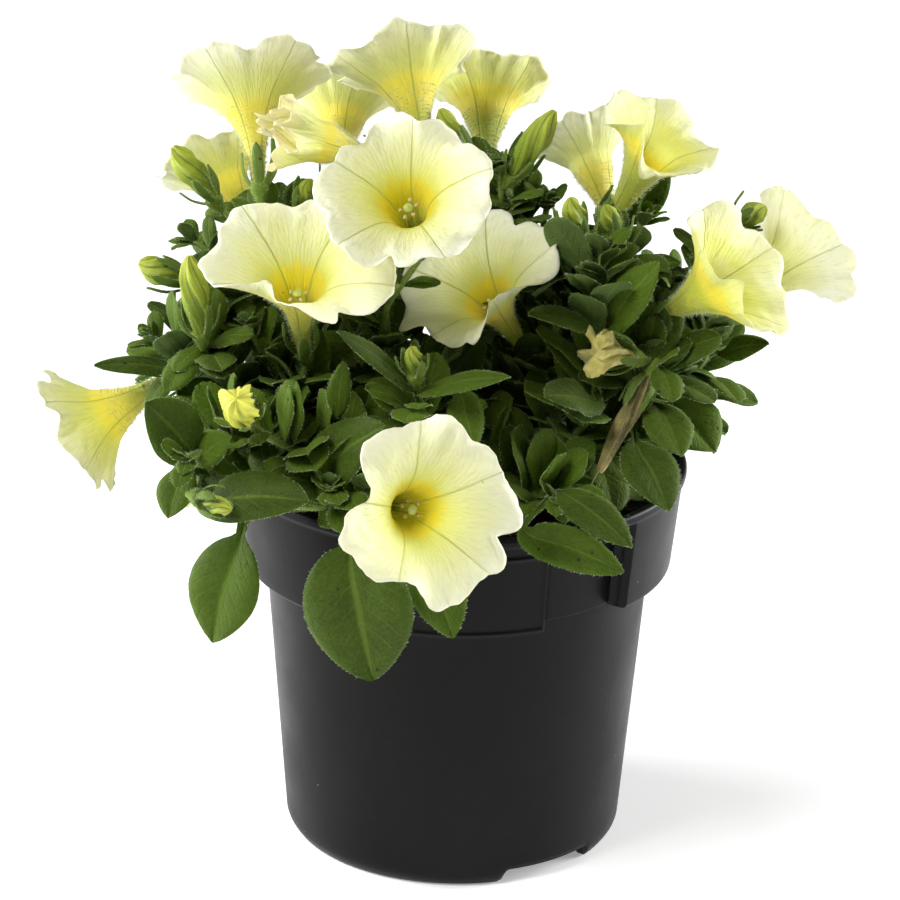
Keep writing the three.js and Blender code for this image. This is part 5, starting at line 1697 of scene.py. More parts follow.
@dataclass(frozen=True)
class BladeShape:
    """How a blade's outline and surface are made from its length and width.

    The half width at a share s of the blade is a sine of pi times s to the power `fullness`, raised to
    `bluntness`, and never less than the stalk's. The blade is folded along its midrib and rolls down at its
    margins by the fourth power of the offset. Its margins wave by a sine along the blade, and between its
    side veins, which run at constant s minus a third of the offset, it bulges.
    """

    stalk_end: float
    stalk_share: float
    fullness: float = 0.87
    bluntness: float = 0.6
    thickness: float = 0.42
    veins: float = 7.0
    quilt: float = 0.1
    wave: float = 0.5
    waves: float = 1.7
    roll: float = 0.12

    def half_width(self, share: Array) -> Array:
        """The outline's half width, as a share of the greatest, along the centre line."""
        blade = np.clip((share - self.stalk_end) / (1 - self.stalk_end), 0, 1)
        outline = np.clip(np.sin(math.pi * blade**self.fullness), 0, 1) ** self.bluntness
        return np.maximum(outline, self.stalk_share * np.clip(8 * (1 - share), 0, 1))

    def surface(self, leaf: Leaf, root: Array, material: int, phase: float) -> Patch:
        """The blade as a closed thin surface.

        Args:
            leaf: the leaf.
            root: where its stalk starts, in the middle of its stem.
            material: index of the material on the piece.
            phase: where the waves of its margin start, in radians.

        Returns:
            The blade's patch.
        """
        curve = replace(leaf, root=root).curve()
        length = float(np.linalg.norm(leaf.tip - root))
        rows = int(np.clip(length / BLADE_PITCH, *BLADE_ROWS))
        columns = int(np.clip(leaf.width / BLADE_PITCH, *BLADE_COLUMNS)) | 1
        share = np.linspace(0.02, 0.995, rows)
        centre = curve.at(share)
        forward = curve.tangent(share)
        normal = unit(leaf.face - forward * (forward @ leaf.face)[:, None])
        side = np.cross(forward, normal)
        across = np.linspace(-1, 1, columns)
        half = self.half_width(share) * leaf.width / 2
        offset = half[:, None] * across
        blade = np.clip((share - self.stalk_end) / (1 - self.stalk_end), 0, 1)[:, None]
        fold = BLADE_FOLD * min(1, leaf.width / FULL_FOLD_WIDTH)
        reach = np.abs(offset)
        lift = reach * math.sin(fold) - self.roll * leaf.width * across**4 * np.sin(math.pi * blade)
        swing = np.sin(2 * math.pi * self.waves * share[:, None] + phase + 1.3 * np.sign(across))
        lift += self.wave * leaf.width / 20 * across**2 * swing
        crest = np.cos(2 * math.pi * self.veins * (blade - VEIN_SLANT * np.abs(across)))
        lift += self.quilt * leaf.width / 12 * (0.5 - crest / 2) * np.abs(across) * np.sin(math.pi * blade)
        rib = 0.02 * leaf.width * np.exp(-((across / 0.12) ** 2))
        stretch = offset * math.cos(fold)
        spread = side[:, None] * stretch[..., None]
        front = centre[:, None] + spread + normal[:, None] * (lift - rib)[..., None]
        thick = self.thickness * (0.45 + 0.55 * np.sqrt(np.clip(1 - across**2, 0, 1))) + rib
        stalk = np.clip((self.stalk_end - share) * 12, 0, 1)[:, None] * 0.5
        back = front - normal[:, None] * (thick + stalk)[..., None]
        points = np.concatenate([front, back[:, ::-1]], 1)
        ring = np.concatenate([across, across[::-1], across[:1]]) * 0.5 + 0.5
        pattern = closed_pattern(ring, (blade[:, 0] if self.stalk_end > 0 else share))
        under = np.concatenate([np.zeros(columns), np.ones(columns)])[None].repeat(rows, 0)
        tip = (points[-1].mean(0) + leaf.tip) / 2
        return Patch(points, pattern, centre[0], tip, material, leaf.tone, under)


STALKED = BladeShape(stalk_end=0.3, stalk_share=0.13, bluntness=0.72)
PLAIN = BladeShape(stalk_end=0.0, stalk_share=0.17, fullness=1.32, bluntness=0.52, veins=6)
STRAP = BladeShape(stalk_end=0.0, stalk_share=0.55, fullness=1.05, bluntness=0.38, thickness=0.5,
                   quilt=0.0, wave=0.1, roll=0.02)


class StemSlot(Enum):
    """The material slots of a leafy stem."""

    STEM = 0
    LEAF = 1
    SEPAL = 2
    HAIR = 3


@dataclass
class LeafyStem:
    """One leafy stem: its stem, stalks, calyces, leaves and hairs."""

    shoot: Shoot
    sides: int = 9
    swelling: float = 0.35
    hair_length: float = 1.1
    hair_radius: float = 0.045
    hairs_per_millimetre: float = 7.0
    sepal_hairs: float = 3.2
    blade_hairs: float = 1.6
    stem_rows: int = 60
    stalk_rows: int = 24
    thickest: float = 1.9

    def _stem(self) -> Patch:
        """The stem itself: it tapers to its tip and swells a little where each leaf grows."""
        shares = np.linspace(0, 1, self.stem_rows)
        radii = lerp(STEM_RADIUS, STALK_RADIUS, shares)
        for leaf in self.shoot.leaves:
            radii = radii + self.swelling * np.exp(-(((shares - leaf.at) / 0.02) ** 2)) * leaf.width / 30
        radii = np.minimum(radii, self.thickest)
        return swept(self.shoot.curve, radii, shares, self.sides, StemSlot.STEM.value)

    def _stalk(self, curve: Curve) -> Patch:
        """One flower stalk, slightly thicker at both ends."""
        shares = np.linspace(0, 1, self.stalk_rows)
        radii = STALK_RADIUS * (0.9 + 0.35 * (2 * shares - 1) ** 4)
        return swept(curve, radii, shares, self.sides, StemSlot.STEM.value, 0.7)

    def _calyx(self, flower: Flower, seed: int) -> list[Patch]:
        """The calyx: a small cup on the stalk's end with strap-like lobes that lean outwards."""
        radii, heights = np.array(CUP_OUTLINE).T
        points = ringed(flower.base, flower.axis, radii, heights, CUP_SIDES)
        pattern = closed_pattern(np.arange(CUP_SIDES + 1) / CUP_SIDES, heights / CUP_SPAN)
        ends = (flower.base + flower.axis * -6.2, flower.base + flower.axis * 0.4)
        patches = [Patch(points, pattern, *ends, StemSlot.SEPAL.value, 0.6)]
        right, up = cross_axes(flower.axis)
        chance = np.random.default_rng(seed)
        for lobe in range(5):
            turn = 2 * math.pi * lobe / 5 + 0.2 * chance.standard_normal()
            out = right * math.cos(turn) + up * math.sin(turn)
            length = flower.sepal * (1.0 + 0.12 * chance.standard_normal())
            lean = flower.girth + SEPAL_LEAN * (1.0 + 0.35 * chance.standard_normal())
            root = flower.base + out * 1.6 - flower.axis * 0.8
            tip = flower.base + flower.axis * length + out * lean
            width = SEPAL_WIDTHS[flower.sepals == 5]
            face = unit(flower.axis * 0.3 - out)
            lobe_leaf = Leaf(0, root, tip, face, -0.12 * length, width, tone=0.6)
            patches.append(STRAP.surface(lobe_leaf, root, StemSlot.SEPAL.value, 6.0 * chance.random()))
        return patches

    def _fuzz(self, piece: Piece, patches: list[Patch], seed: int) -> None:
        """Sprouts hairs all over round patches, straight out from their centre line."""
        chance = np.random.default_rng(seed)
        for patch in patches:
            rows, columns, _ = patch.points.shape
            centre = patch.points.mean(1, keepdims=True)
            span = np.linalg.norm(np.diff(centre[:, 0], axis=0), axis=1).sum()
            count = int(span * self.hairs_per_millimetre)
            row = chance.integers(0, rows - 1, count)
            column = chance.integers(0, columns, count)
            slide = chance.random(count)[:, None]
            roots = lerp(patch.points[row, column], patch.points[row + 1, column], slide)
            out = roots - lerp(centre[row, 0], centre[row + 1, 0], slide)
            ways = unit(unit(out) + 0.35 * chance.standard_normal((count, 3)))
            lengths = self.hair_length * (0.5 + 0.8 * chance.random(count))
            piece.sprout(roots - 0.05 * ways, ways, lengths, StemSlot.HAIR.value, self.hair_radius)

    def _edge_fuzz(self, piece: Piece, patches: list[Patch], per_millimetre: float, seed: int) -> None:
        """Sprouts short hairs along the two margins of blades."""
        chance = np.random.default_rng(seed)
        for patch in patches:
            rows, columns, _ = patch.points.shape
            half = columns // 2
            for margin, inner in ((0, 1), (half - 1, half - 2)):
                line, inside = patch.points[:, margin], patch.points[:, inner]
                span = np.linalg.norm(np.diff(line, axis=0), axis=1).sum()
                count = int(span * per_millimetre)
                row = chance.integers(0, rows - 1, count)
                slide = chance.random(count)[:, None]
                roots = lerp(line[row], line[row + 1], slide)
                ways = unit(unit(roots - lerp(inside[row], inside[row + 1], slide))
                            + 0.4 * chance.standard_normal((count, 3)))
                lengths = self.hair_length * (0.35 + 0.5 * chance.random(count))
                piece.sprout(roots - 0.05 * ways, ways, lengths, StemSlot.HAIR.value, self.hair_radius)

    def build(self, finishes: Finishes, seed: int) -> None:
        """Builds the stem's piece.

        Args:
            finishes: the plant's materials.
            seed: where this stem's chance starts.
        """
        chance = np.random.default_rng(seed)
        piece = Piece(self.shoot.place.name, [finishes.stem, finishes.leaf, finishes.sepal, finishes.hair],
                      "leaf_green")
        stalks = [curve for _, curve in self.shoot.stalks] + self.shoot.twigs
        tubes = [self._stem()] + [self._stalk(curve) for curve in stalks]
        cups, sepals, blades = [], [], []
        for index, flower in enumerate(self.shoot.own):
            cup, *lobes = self._calyx(flower, seed + 7 * index)
            cups.append(cup)
            sepals.extend(lobes)
        for leaf in self.shoot.leaves:
            shape = PLAIN if leaf.base is None else STALKED
            root = leaf.root if leaf.at == ON_STALK else self.shoot.curve.at(leaf.at)
            blades.append(shape.surface(leaf, root, StemSlot.LEAF.value, 6.3 * chance.random()))
        piece.add(*tubes, *cups, *sepals, *blades)
        self._fuzz(piece, tubes + cups, seed + 1)
        self._edge_fuzz(piece, sepals, self.sepal_hairs, seed + 2)
        self._edge_fuzz(piece, blades, self.blade_hairs, seed + 3)
        piece.build()


# ---- Blooms and buds ----


class BloomSlot(Enum):
    """The material slots of a bloom."""

    PETAL = 0
    STIGMA = 1
    ANTHER = 2
    HAIR = 3


@dataclass(frozen=True)
class Fold:
    """Part of a bloom's rim that folds inwards: at an angle, by so many millimetres in and up."""

    at: float
    inward: float
    lift: float
    spread: float


@dataclass(frozen=True)
class Rim:
    """How far a bloom's rim reaches at angles round its mouth, as shares of its radius, and its folds."""

    reach: tuple[tuple[float, float], ...]
    folds: tuple[Fold, ...] = ()
    crumple: float = 0.0


# Each row is an angle in degrees and the rim's reach there as a share of the radius. The wilting bloom's
# rim is a guess, the others were read off the photograph.
RIMS = {
    "bloom_crown": Rim((
        (0, 0.9), (15, 0.95), (30, 0.93), (38, 0.88), (46, 0.77), (60, 0.87), (75, 0.82), (86, 0.74),
        (97, 0.86), (108, 0.9), (120, 0.88), (130, 0.74), (137, 0.66), (150, 0.79), (165, 0.82),
        (180, 0.93), (192, 0.96), (203, 0.8), (212, 0.88), (240, 0.95), (255, 0.97), (262, 0.86),
        (267, 0.7), (275, 0.9), (285, 0.93), (293, 0.85), (302, 0.97), (315, 1.03), (325, 0.9), (345, 0.97),
    )),
    "bloom_front": Rim((
        (0, 1.0), (8, 0.93), (15, 0.87), (37, 0.9), (45, 0.88), (51, 0.82), (54, 0.9), (67, 0.98),
        (75, 1.01), (90, 0.92), (105, 0.94), (127, 1.0), (135, 0.93), (143, 0.8), (152, 0.72), (162, 0.65),
        (172, 0.9), (187, 1.04), (200, 0.94), (210, 0.92), (225, 0.87), (240, 0.73), (248, 0.75),
        (256, 0.83), (266, 1.0), (285, 1.0), (300, 0.85), (315, 1.0), (324, 0.96), (331, 0.84), (334, 0.7),
        (338, 1.0), (345, 1.03),
    )),
    "bloom_left": Rim((
        (0, 1.03), (15, 0.95), (45, 0.9), (75, 0.93), (90, 0.93), (97, 0.84), (108, 0.95), (120, 0.91),
        (128, 0.92), (135, 0.98), (150, 0.98), (160, 0.86), (167, 0.82), (173, 0.93), (180, 0.97),
        (195, 0.92), (210, 0.86), (225, 0.84), (250, 0.8), (275, 0.95), (290, 1.12), (302, 1.15),
        (311, 0.78), (317, 0.92), (327, 1.1), (345, 1.08),
    ), (Fold(243, 11, 5, 24),)),
    "bloom_middle": Rim((
        (0, 0.95), (8, 0.84), (15, 0.86), (23, 1.0), (32, 1.04), (60, 1.02), (75, 0.93), (86, 0.82),
        (93, 0.95), (105, 1.0), (130, 0.93), (160, 0.95), (180, 0.95), (195, 0.97), (210, 0.93),
        (218, 0.92), (228, 1.08), (238, 0.97), (247, 0.76), (255, 0.82), (270, 0.9), (285, 0.87),
        (292, 0.88), (301, 1.05), (312, 0.95), (330, 0.95), (345, 1.0),
    ), (Fold(353, 7, 6, 17), Fold(325, 5, 1, 14))),
    "bloom_right_top": Rim((
        (0, 1.0), (10, 1.1), (30, 1.14), (38, 1.04), (48, 1.1), (62, 1.05), (80, 0.92), (95, 0.85),
        (120, 0.9), (150, 0.95), (180, 1.0), (200, 0.85), (215, 0.74), (240, 0.7), (258, 0.7), (275, 0.78),
        (300, 0.86), (315, 0.88), (328, 0.8), (345, 0.9),
    ), (Fold(165, 9, 5, 24),)),
    "bloom_right": Rim((
        (0, 1.1), (12, 1.12), (24, 0.96), (34, 1.0), (60, 1.0), (82, 0.95), (105, 1.0), (130, 0.95),
        (150, 0.9), (180, 0.8), (205, 0.85), (240, 0.82), (262, 0.9), (285, 1.0), (300, 1.02), (312, 0.85),
        (322, 0.98), (345, 1.05),
    ), (Fold(185, 7, 2, 26),)),
    "bloom_wilting": Rim(
        ((0, 1.0), (40, 0.9), (80, 1.02), (120, 0.88), (165, 1.0), (210, 0.88), (255, 1.0), (305, 0.88)),
        (Fold(20, 12, 3, 24), Fold(92, 15, 2, 26), Fold(165, 9, 4, 20), Fold(238, 14, 2, 24),
         Fold(310, 12, 4, 24)),
        crumple=0.7,
    ),
}

# How much paler than the plain petal a bloom is. Below zero it is yellower.
PALENESS = {"bloom_far_right": 1.0, "bloom_right_back": 0.4, "bloom_right": -0.9, "bloom_right_top": -0.8,
            "bloom_hanging": -0.4, "bloom_top_right": -0.4, "bloom_crown": 0.15, "bloom_top_left": 0.3}


@dataclass
class BloomPiece:
    """One open bloom: a thin trumpet of five joined petals, with its stigma, anthers and hairs."""

    place: BloomPlace
    seed: int
    rows: int = 36
    columns: int = 150
    thickness: float = 0.22
    ruffle: float = 1.3
    pleat: float = 0.7
    seam: float = 0.6
    roll: float = 0.6
    crease: float = 0.08
    hairs: int = 1500
    hairy_share: float = 0.55

    def _reach(self, angle: Array, chance: np.random.Generator) -> Array:
        """How far the rim reaches at each angle, as a share of the bloom's radius.

        It's read off the bloom's own rim where one is given. Otherwise five petals of chance size meet in
        notches of chance depth, each a bell in the angle, with a small cleft at every petal's tip.
        """
        degrees = np.degrees(angle)
        rim = RIMS.get(self.place.name)
        if rim is not None:
            known = np.array(rim.reach, float)
            reach = np.interp(degrees, known[:, 0], known[:, 1], period=360)
            for _ in range(2):
                reach = (np.roll(reach, 1) + 2 * reach + np.roll(reach, -1)) / 4
        else:
            reach = np.ones_like(angle)
            for petal in range(5):
                middle = self.place.turn + 72 * petal
                off = wrapped(degrees - middle, 360)
                reach += 0.1 * (chance.random() - 0.5) * np.exp(-((off / 30) ** 2))
                reach -= (0.02 + 0.05 * chance.random()) * np.exp(-((off / 4) ** 2))
                seam = wrapped(off - 36 + 8 * (chance.random() - 0.5), 360)
                reach -= (0.08 + 0.14 * chance.random()) * np.exp(-((seam / 7) ** 2))
        for number in (14, 23, 37, 53):
            reach = reach + 0.15 / number * np.cos(number * angle + 6.3 * chance.random())
        return reach

    def _sheet(self) -> tuple[Array, Array, Array]:
        """The outer face of the petals.

        The rings of the trumpet's outline are joined by a smooth curve. Towards the rim the surface waves
        by cosines of the angle with rising numbers and chance phases, sinks in a bell-shaped groove along
        each main vein, and rises in a bell-shaped seam between the petals. Eight more cosines, slanted by
        the distance from the throat, crease it lightly. It rolls back over the last tenth. A rim that is
        given may crumple by four more waves, and folds inwards by a bell in the angle at each of its folds.

        Returns:
            The grid of points, the turn of each column in fifths, and each row's radius share.
        """
        chance = np.random.default_rng(self.seed)
        shares = np.linspace(0, 1, self.rows) ** 0.85
        outline = Curve(np.array(self.place.rings, float)).at(shares)
        ring_radius = np.maximum(outline[:, 0], 1.6)[:, None]
        ring_height = outline[:, 1][:, None]
        angle = turns(self.columns)
        radius, height = trumpet_point(self.place, ring_radius, ring_height, angle[None])
        limb = np.clip((ring_radius - THROAT_RADIUS) / (TRUMPET_RADIUS - THROAT_RADIUS), 0, 1)
        turn = 5 * (angle - math.radians(self.place.turn)) / (2 * math.pi)
        notch = (0.5 - 0.5 * np.cos(2 * math.pi * turn)) ** 3
        grown = self._reach(angle, chance) - 1 + NOTCH_DEPTH * notch
        radius = radius + self.place.radius * ring_radius / TRUMPET_RADIUS * limb**2 * grown
        for number in (5, 8, 12, 17):
            phase = 2 * math.pi * chance.random()
            size = self.ruffle * 5 / number * (0.3 + 0.6 * chance.random())
            height = height + size * limb**2.5 * np.cos(number * angle + phase)
        off = np.abs(np.mod(turn + 0.5, 1) - 0.5)
        height = height - self.pleat * limb**0.7 * np.exp(-((off / 0.06) ** 2))
        height = height + self.seam * limb * np.exp(-(((0.5 - off) / 0.05) ** 2))
        for _ in range(8):
            round_number, along_number = chance.integers(3, 19), 1 + 4 * chance.random()
            start = 2 * math.pi * chance.random()
            slanted = round_number * angle + 6 * along_number * limb + start
            height = height + self.crease * limb * np.cos(slanted)
        height = height - self.roll * np.clip((ring_radius / TRUMPET_RADIUS - 0.9) / 0.1, 0, 1) ** 2
        rim = RIMS.get(self.place.name, Rim(()))
        for number in (5, 11, 15, 22):
            waves = np.cos(number * angle + 5 * limb + 2 * math.pi * chance.random())
            height = height + rim.crumple * limb * waves
            radius = radius + rim.crumple * 0.5 * limb * np.roll(waves, number, 1)
        for fold in rim.folds:
            off = wrapped(angle - math.radians(fold.at))
            share = limb**1.5 * np.exp(-((off / math.radians(fold.spread)) ** 2))
            radius = radius - fold.inward * share
            height = height + fold.lift * share
        base = bloom_base(self.place)
        axis = self.place.axis
        return turned_about(base, axis, radius, height, angle), turn, ring_radius[:, 0] / TRUMPET_RADIUS

    def _petals(self) -> Patch:
        """The petals as one closed sheet: its outer face, over the rim, and back down its inner face."""
        outer, turn, share = self._sheet()
        along = np.gradient(outer, axis=0)
        round_way = np.roll(outer, -1, 1) - np.roll(outer, 1, 1)
        normal = unit(np.cross(round_way, along))
        axis = self.place.axis
        centre = outer.mean(1, keepdims=True)
        inward = centre - outer + axis * np.linalg.norm(outer - centre, axis=2, keepdims=True)
        normal = normal * np.sign((normal * inward).sum(2, keepdims=True))
        inner = outer + normal * self.thickness
        points = np.concatenate([outer, inner[::-1]])
        share = np.minimum(share, 1)
        along_values = np.concatenate([share, 2 - share[::-1]])
        pattern = closed_pattern(np.append(turn, turn[0] + 5), along_values)
        under = np.concatenate([np.ones(self.rows), np.zeros(self.rows)])[:, None]
        base = bloom_base(self.place)
        return Patch(points, pattern, base - axis * 0.6, base + axis * 0.3, BloomSlot.PETAL.value,
                     PALENESS.get(self.place.name, 0.0), under)

    def _knob(self, centre: Array, axis: Array, radius: float, length: float, slot: BloomSlot) -> Patch:
        """A small egg shape: circles whose radii follow half a sine."""
        share = np.linspace(0.08, 0.92, KNOB_ROWS)
        points = ringed(centre, axis, radius * np.sin(math.pi * share), (share - 0.5) * length, KNOB_SIDES)
        pattern = closed_pattern(np.arange(KNOB_SIDES + 1) / KNOB_SIDES, share)
        return Patch(points, pattern, centre - axis * length / 2, centre + axis * length / 2, slot.value)

    def _heart(self, piece: Piece) -> None:
        """Adds the style with its stigma and five anthers round it."""
        chance = np.random.default_rng(self.seed + 1)
        base = bloom_base(self.place)
        axis = self.place.axis
        right, up = cross_axes(axis)
        top = np.interp(HEART_RADIUS, *np.array(self.place.rings, float).T)
        shares = np.linspace(0, 1, 8)
        line = Curve(np.array([base + axis * 1.0, base + axis * top * 0.6, base + axis * (top + 1)]))
        piece.add(swept(line, np.full(8, STYLE_RADIUS), shares, 7, BloomSlot.STIGMA.value))
        piece.add(self._knob(base + axis * (top + 1.4), axis, *STIGMA_SIZE, BloomSlot.STIGMA))
        for number in range(5):
            angle = 2 * math.pi * (number + 0.6 * chance.random()) / 5
            out = right * math.cos(angle) + up * math.sin(angle)
            head = base + axis * (top - 0.4 + 1.6 * chance.random()) + out * (2.3 + 0.5 * chance.random())
            foot = base + axis * 6 + out * 1.2
            thread = Curve(np.array([foot, lerp(foot, head, 0.55) + out * 0.2, head]))
            piece.add(swept(thread, np.full(8, THREAD_RADIUS), shares, 5, BloomSlot.STIGMA.value))
            piece.add(self._knob(head, unit(out + 0.4 * up), *ANTHER_SIZE, BloomSlot.ANTHER))

    def build(self, finishes: Finishes) -> None:
        """Builds the bloom's piece."""
        petal = finishes.withering if self.place.name == "bloom_wilting" else finishes.petal
        materials = [petal, finishes.stigma, finishes.anther, finishes.hair]
        piece = Piece(self.place.name, materials, "petal_cream")
        petals = self._petals()
        piece.add(petals)
        self._heart(piece)
        chance = np.random.default_rng(self.seed + 2)
        count = self.hairs
        row = chance.integers(1, int(self.rows * self.hairy_share), count)
        column = chance.integers(0, self.columns, count)
        roots = petals.points[row, column]
        axis = self.place.axis
        out = roots - bloom_base(self.place)
        out = unit(out - axis * (out @ axis)[:, None])
        ways = unit(out + 0.3 * chance.standard_normal((count, 3)))
        piece.sprout(roots - 0.05 * ways, ways, 0.9 + 0.7 * chance.random(count), BloomSlot.HAIR.value, 0.055)
        piece.build()


@dataclass(frozen=True)
class BudShape:
    """How a closed corolla is folded.

    Its radius follows an outline along the bud, times one plus the ridge height times a wave of the ridge
    count times the angle, turned on along the bud by the twist. The overlap leans the wave over from a
    cosine towards a saw's teeth, as petals do that are wrapped over each other. Smaller crumples come from
    more waves. The crown is how far the ridges stand up at the tip, the hollow is how deep the middle of
    the tip sinks between them, and the thread is the length of the style that hangs out.
    """

    outline: tuple[tuple[float, float], ...]
    ridges: int = 5
    height: float = 0.14
    twist: float = 2.0
    crumple: float = 0.03
    overlap: float = 0.6
    crown: float = 0.2
    hollow: float = -0.3
    thread: float = 0.0
    slot: str = "petal_cream"


GREEN_BUD = BudShape(((0.0, 0.45), (0.15, 0.58), (0.35, 0.84), (0.55, 1.0), (0.75, 0.88), (0.9, 0.58),
                      (1.0, 0.22)))
OPENING_BUD = BudShape(((0.0, 0.5), (0.25, 0.76), (0.5, 0.9), (0.75, 0.92), (0.9, 0.84), (0.97, 0.64),
                        (1.0, 0.34)), ridges=4, height=0.13, twist=0.5, crumple=0.07, overlap=1.5,
                       crown=0.9, hollow=0.6, slot="bud_yellow")
WITHERED = BudShape(((0.0, 0.25), (0.25, 0.36), (0.5, 0.62), (0.75, 0.95), (0.92, 1.05), (1.0, 0.8)),
                    height=0.36, twist=1.4, crumple=0.16, crown=1.6, hollow=2.0, slot="dried_petal")
HANGING_TUBE = BudShape(((0.0, 0.45), (0.12, 0.7), (0.3, 0.82), (0.5, 0.68), (0.75, 0.5), (0.95, 0.42),
                         (1.0, 0.3)), ridges=4, height=0.24, twist=1.2, crumple=0.09, thread=6.5,
                        slot="dried_petal")


@dataclass
class BudPiece:
    """One bud or withered corolla."""

    place: BudPlace
    shape: BudShape
    seed: int
    rows: int = 40
    columns: int = 80
    hairs_per_millimetre: int = 12

    def _skin(self, axis: Array, length: float, chance: np.random.Generator) -> Patch:
        """The folded petals: a closed surface round the bud's axis, as the shape says."""
        shape, base = self.shape, np.array(self.place.base, float)
        share = np.linspace(0, 1, self.rows)
        known = np.array(shape.outline)
        radius = self.place.radius * np.interp(share, known[:, 0], known[:, 1])[:, None]
        angle = turns(self.columns)
        turned = angle[None] + shape.twist * share[:, None]
        swell = np.clip(share * 3, 0, 1)[:, None]
        phase = shape.ridges * turned
        wave = np.cos(phase + shape.overlap * np.sin(phase))
        radius = radius * (1 + shape.height * swell * np.abs(wave) ** 0.7 * np.sign(wave))
        for number in (3, 8, 13, 19):
            start = 2 * math.pi * chance.random()
            radius = radius * (1 + shape.crumple * np.cos(number * turned + 9 * share[:, None] + start))
        height = share[:, None] * length + shape.crown * wave * share[:, None] ** 3
        points = turned_about(base, axis, radius, height, angle)
        across = np.arange(self.columns + 1) * shape.ridges / self.columns
        across = across[None] + shape.ridges * shape.twist * share[:, None] / (2 * math.pi)
        pattern = np.stack([across, np.repeat(share[:, None], self.columns + 1, 1)], -1)
        return Patch(points, pattern, base - axis * 0.4, base + axis * (length - shape.hollow), 0)

    def build(self, finish: bpy.types.Material, hair: bpy.types.Material) -> None:
        """Builds the bud's piece.

        Args:
            finish: the petals' material.
            hair: the hairs' material.
        """
        chance = np.random.default_rng(self.seed)
        base, tip = np.array(self.place.base, float), np.array(self.place.tip, float)
        length = float(np.linalg.norm(tip - base))
        axis = unit(tip - base)
        skin = self._skin(axis, length, chance)
        piece = Piece(self.place.name, [finish, hair], self.shape.slot)
        piece.add(skin)
        if self.shape.thread > 0:
            end = tip + axis * self.shape.thread
            line = Curve(np.array([tip - axis * 2, lerp(tip, end, 0.5) + UP * 0.5, end]))
            piece.add(swept(line, np.full(9, 0.2), np.linspace(0, 1, 9), 6, 0))
        count = int(length * self.hairs_per_millimetre)
        row = chance.integers(1, self.rows - 6, count)
        column = chance.integers(0, self.columns, count)
        roots = skin.points[row, column]
        out = roots - base
        ways = unit(unit(out - axis * (out @ axis)[:, None]) + 0.35 * chance.standard_normal((count, 3)))
        piece.sprout(roots - 0.05 * ways, ways, 0.4 + 0.5 * chance.random(count), 1, 0.035)
        piece.build()


# ---- Pot and soil ----


def smooth_step(value: Array, low: float, high: float) -> Array:
    """Runs smoothly from 0 to 1 while the value runs from low to high."""
    share = np.clip((value - low) / (high - low), 0, 1)
    return share * share * (3 - 2 * share)


def body_radius(height: Array) -> Array:
    """The outer radius of the pot's body at a height: a straight line from its foot to the band."""
    slope = (BODY_TOP_RADIUS - BODY_FOOT_RADIUS) / (BAND_FOOT_HEIGHT - BODY_FOOT_HEIGHT)
    return BODY_FOOT_RADIUS + slope * (height - BODY_FOOT_HEIGHT)


# Stretches of the pot's outline as radii and heights: the base plate and foot from the middle outwards, the
# shoulder under the band, the step under the lip, and the inside from the top of the rim to the floor.
BASE_OUTLINE = ((6, 0), (14, 0), (23, 0), (24, 0.4), (26, 2.6), (27.6, 4.6), (28.6, 5), (33, 5), (39, 5),
                (46.6, 5), (47.4, 4.4), (47.6, 2), (47.8, 0.3), (48.4, 0), (50, 0), (50.6, 0.3),
                (51.4, 1.4), (52.1, 2.6))
SHOULDER_OUTLINE = ((59.5, 89.4), (60.4, 89.5), (62.5, 89.5))
LIP_FOOT_OUTLINE = ((69.2, 118.4), (69.8, 119), (70, 119.8))
INNER_OUTLINE = ((67.9, 121.8), (67.5, 121.2), (67.4, 118), (66.4, 108), (64.8, 92.6), (64.2, 91.2),
                 (58.2, 90.8), (57.6, 88), (55, 50), (51.4, 9), (50.4, 7.4), (47, 7), (38, 7), (29, 7),
                 (26, 4.6), (23, 2.2), (12, 2), (5, 2))
# Extra rows of the wall where the label's frame and the top of the recess cross it.
FRAME_FOOT_ROWS = (85.6, 86.2, 86.8, 87.2, 87.7, 88.2, 88.8)
FRAME_TOP_ROWS = (110.6, 111.1, 111.6, 112, 112.5, 113.5, 115, 116.3, 117.2, 117.8)
BAND_TOP_HEIGHT = 118
LIP_ROUND = 1.4
BAND_ROUND = 1.5


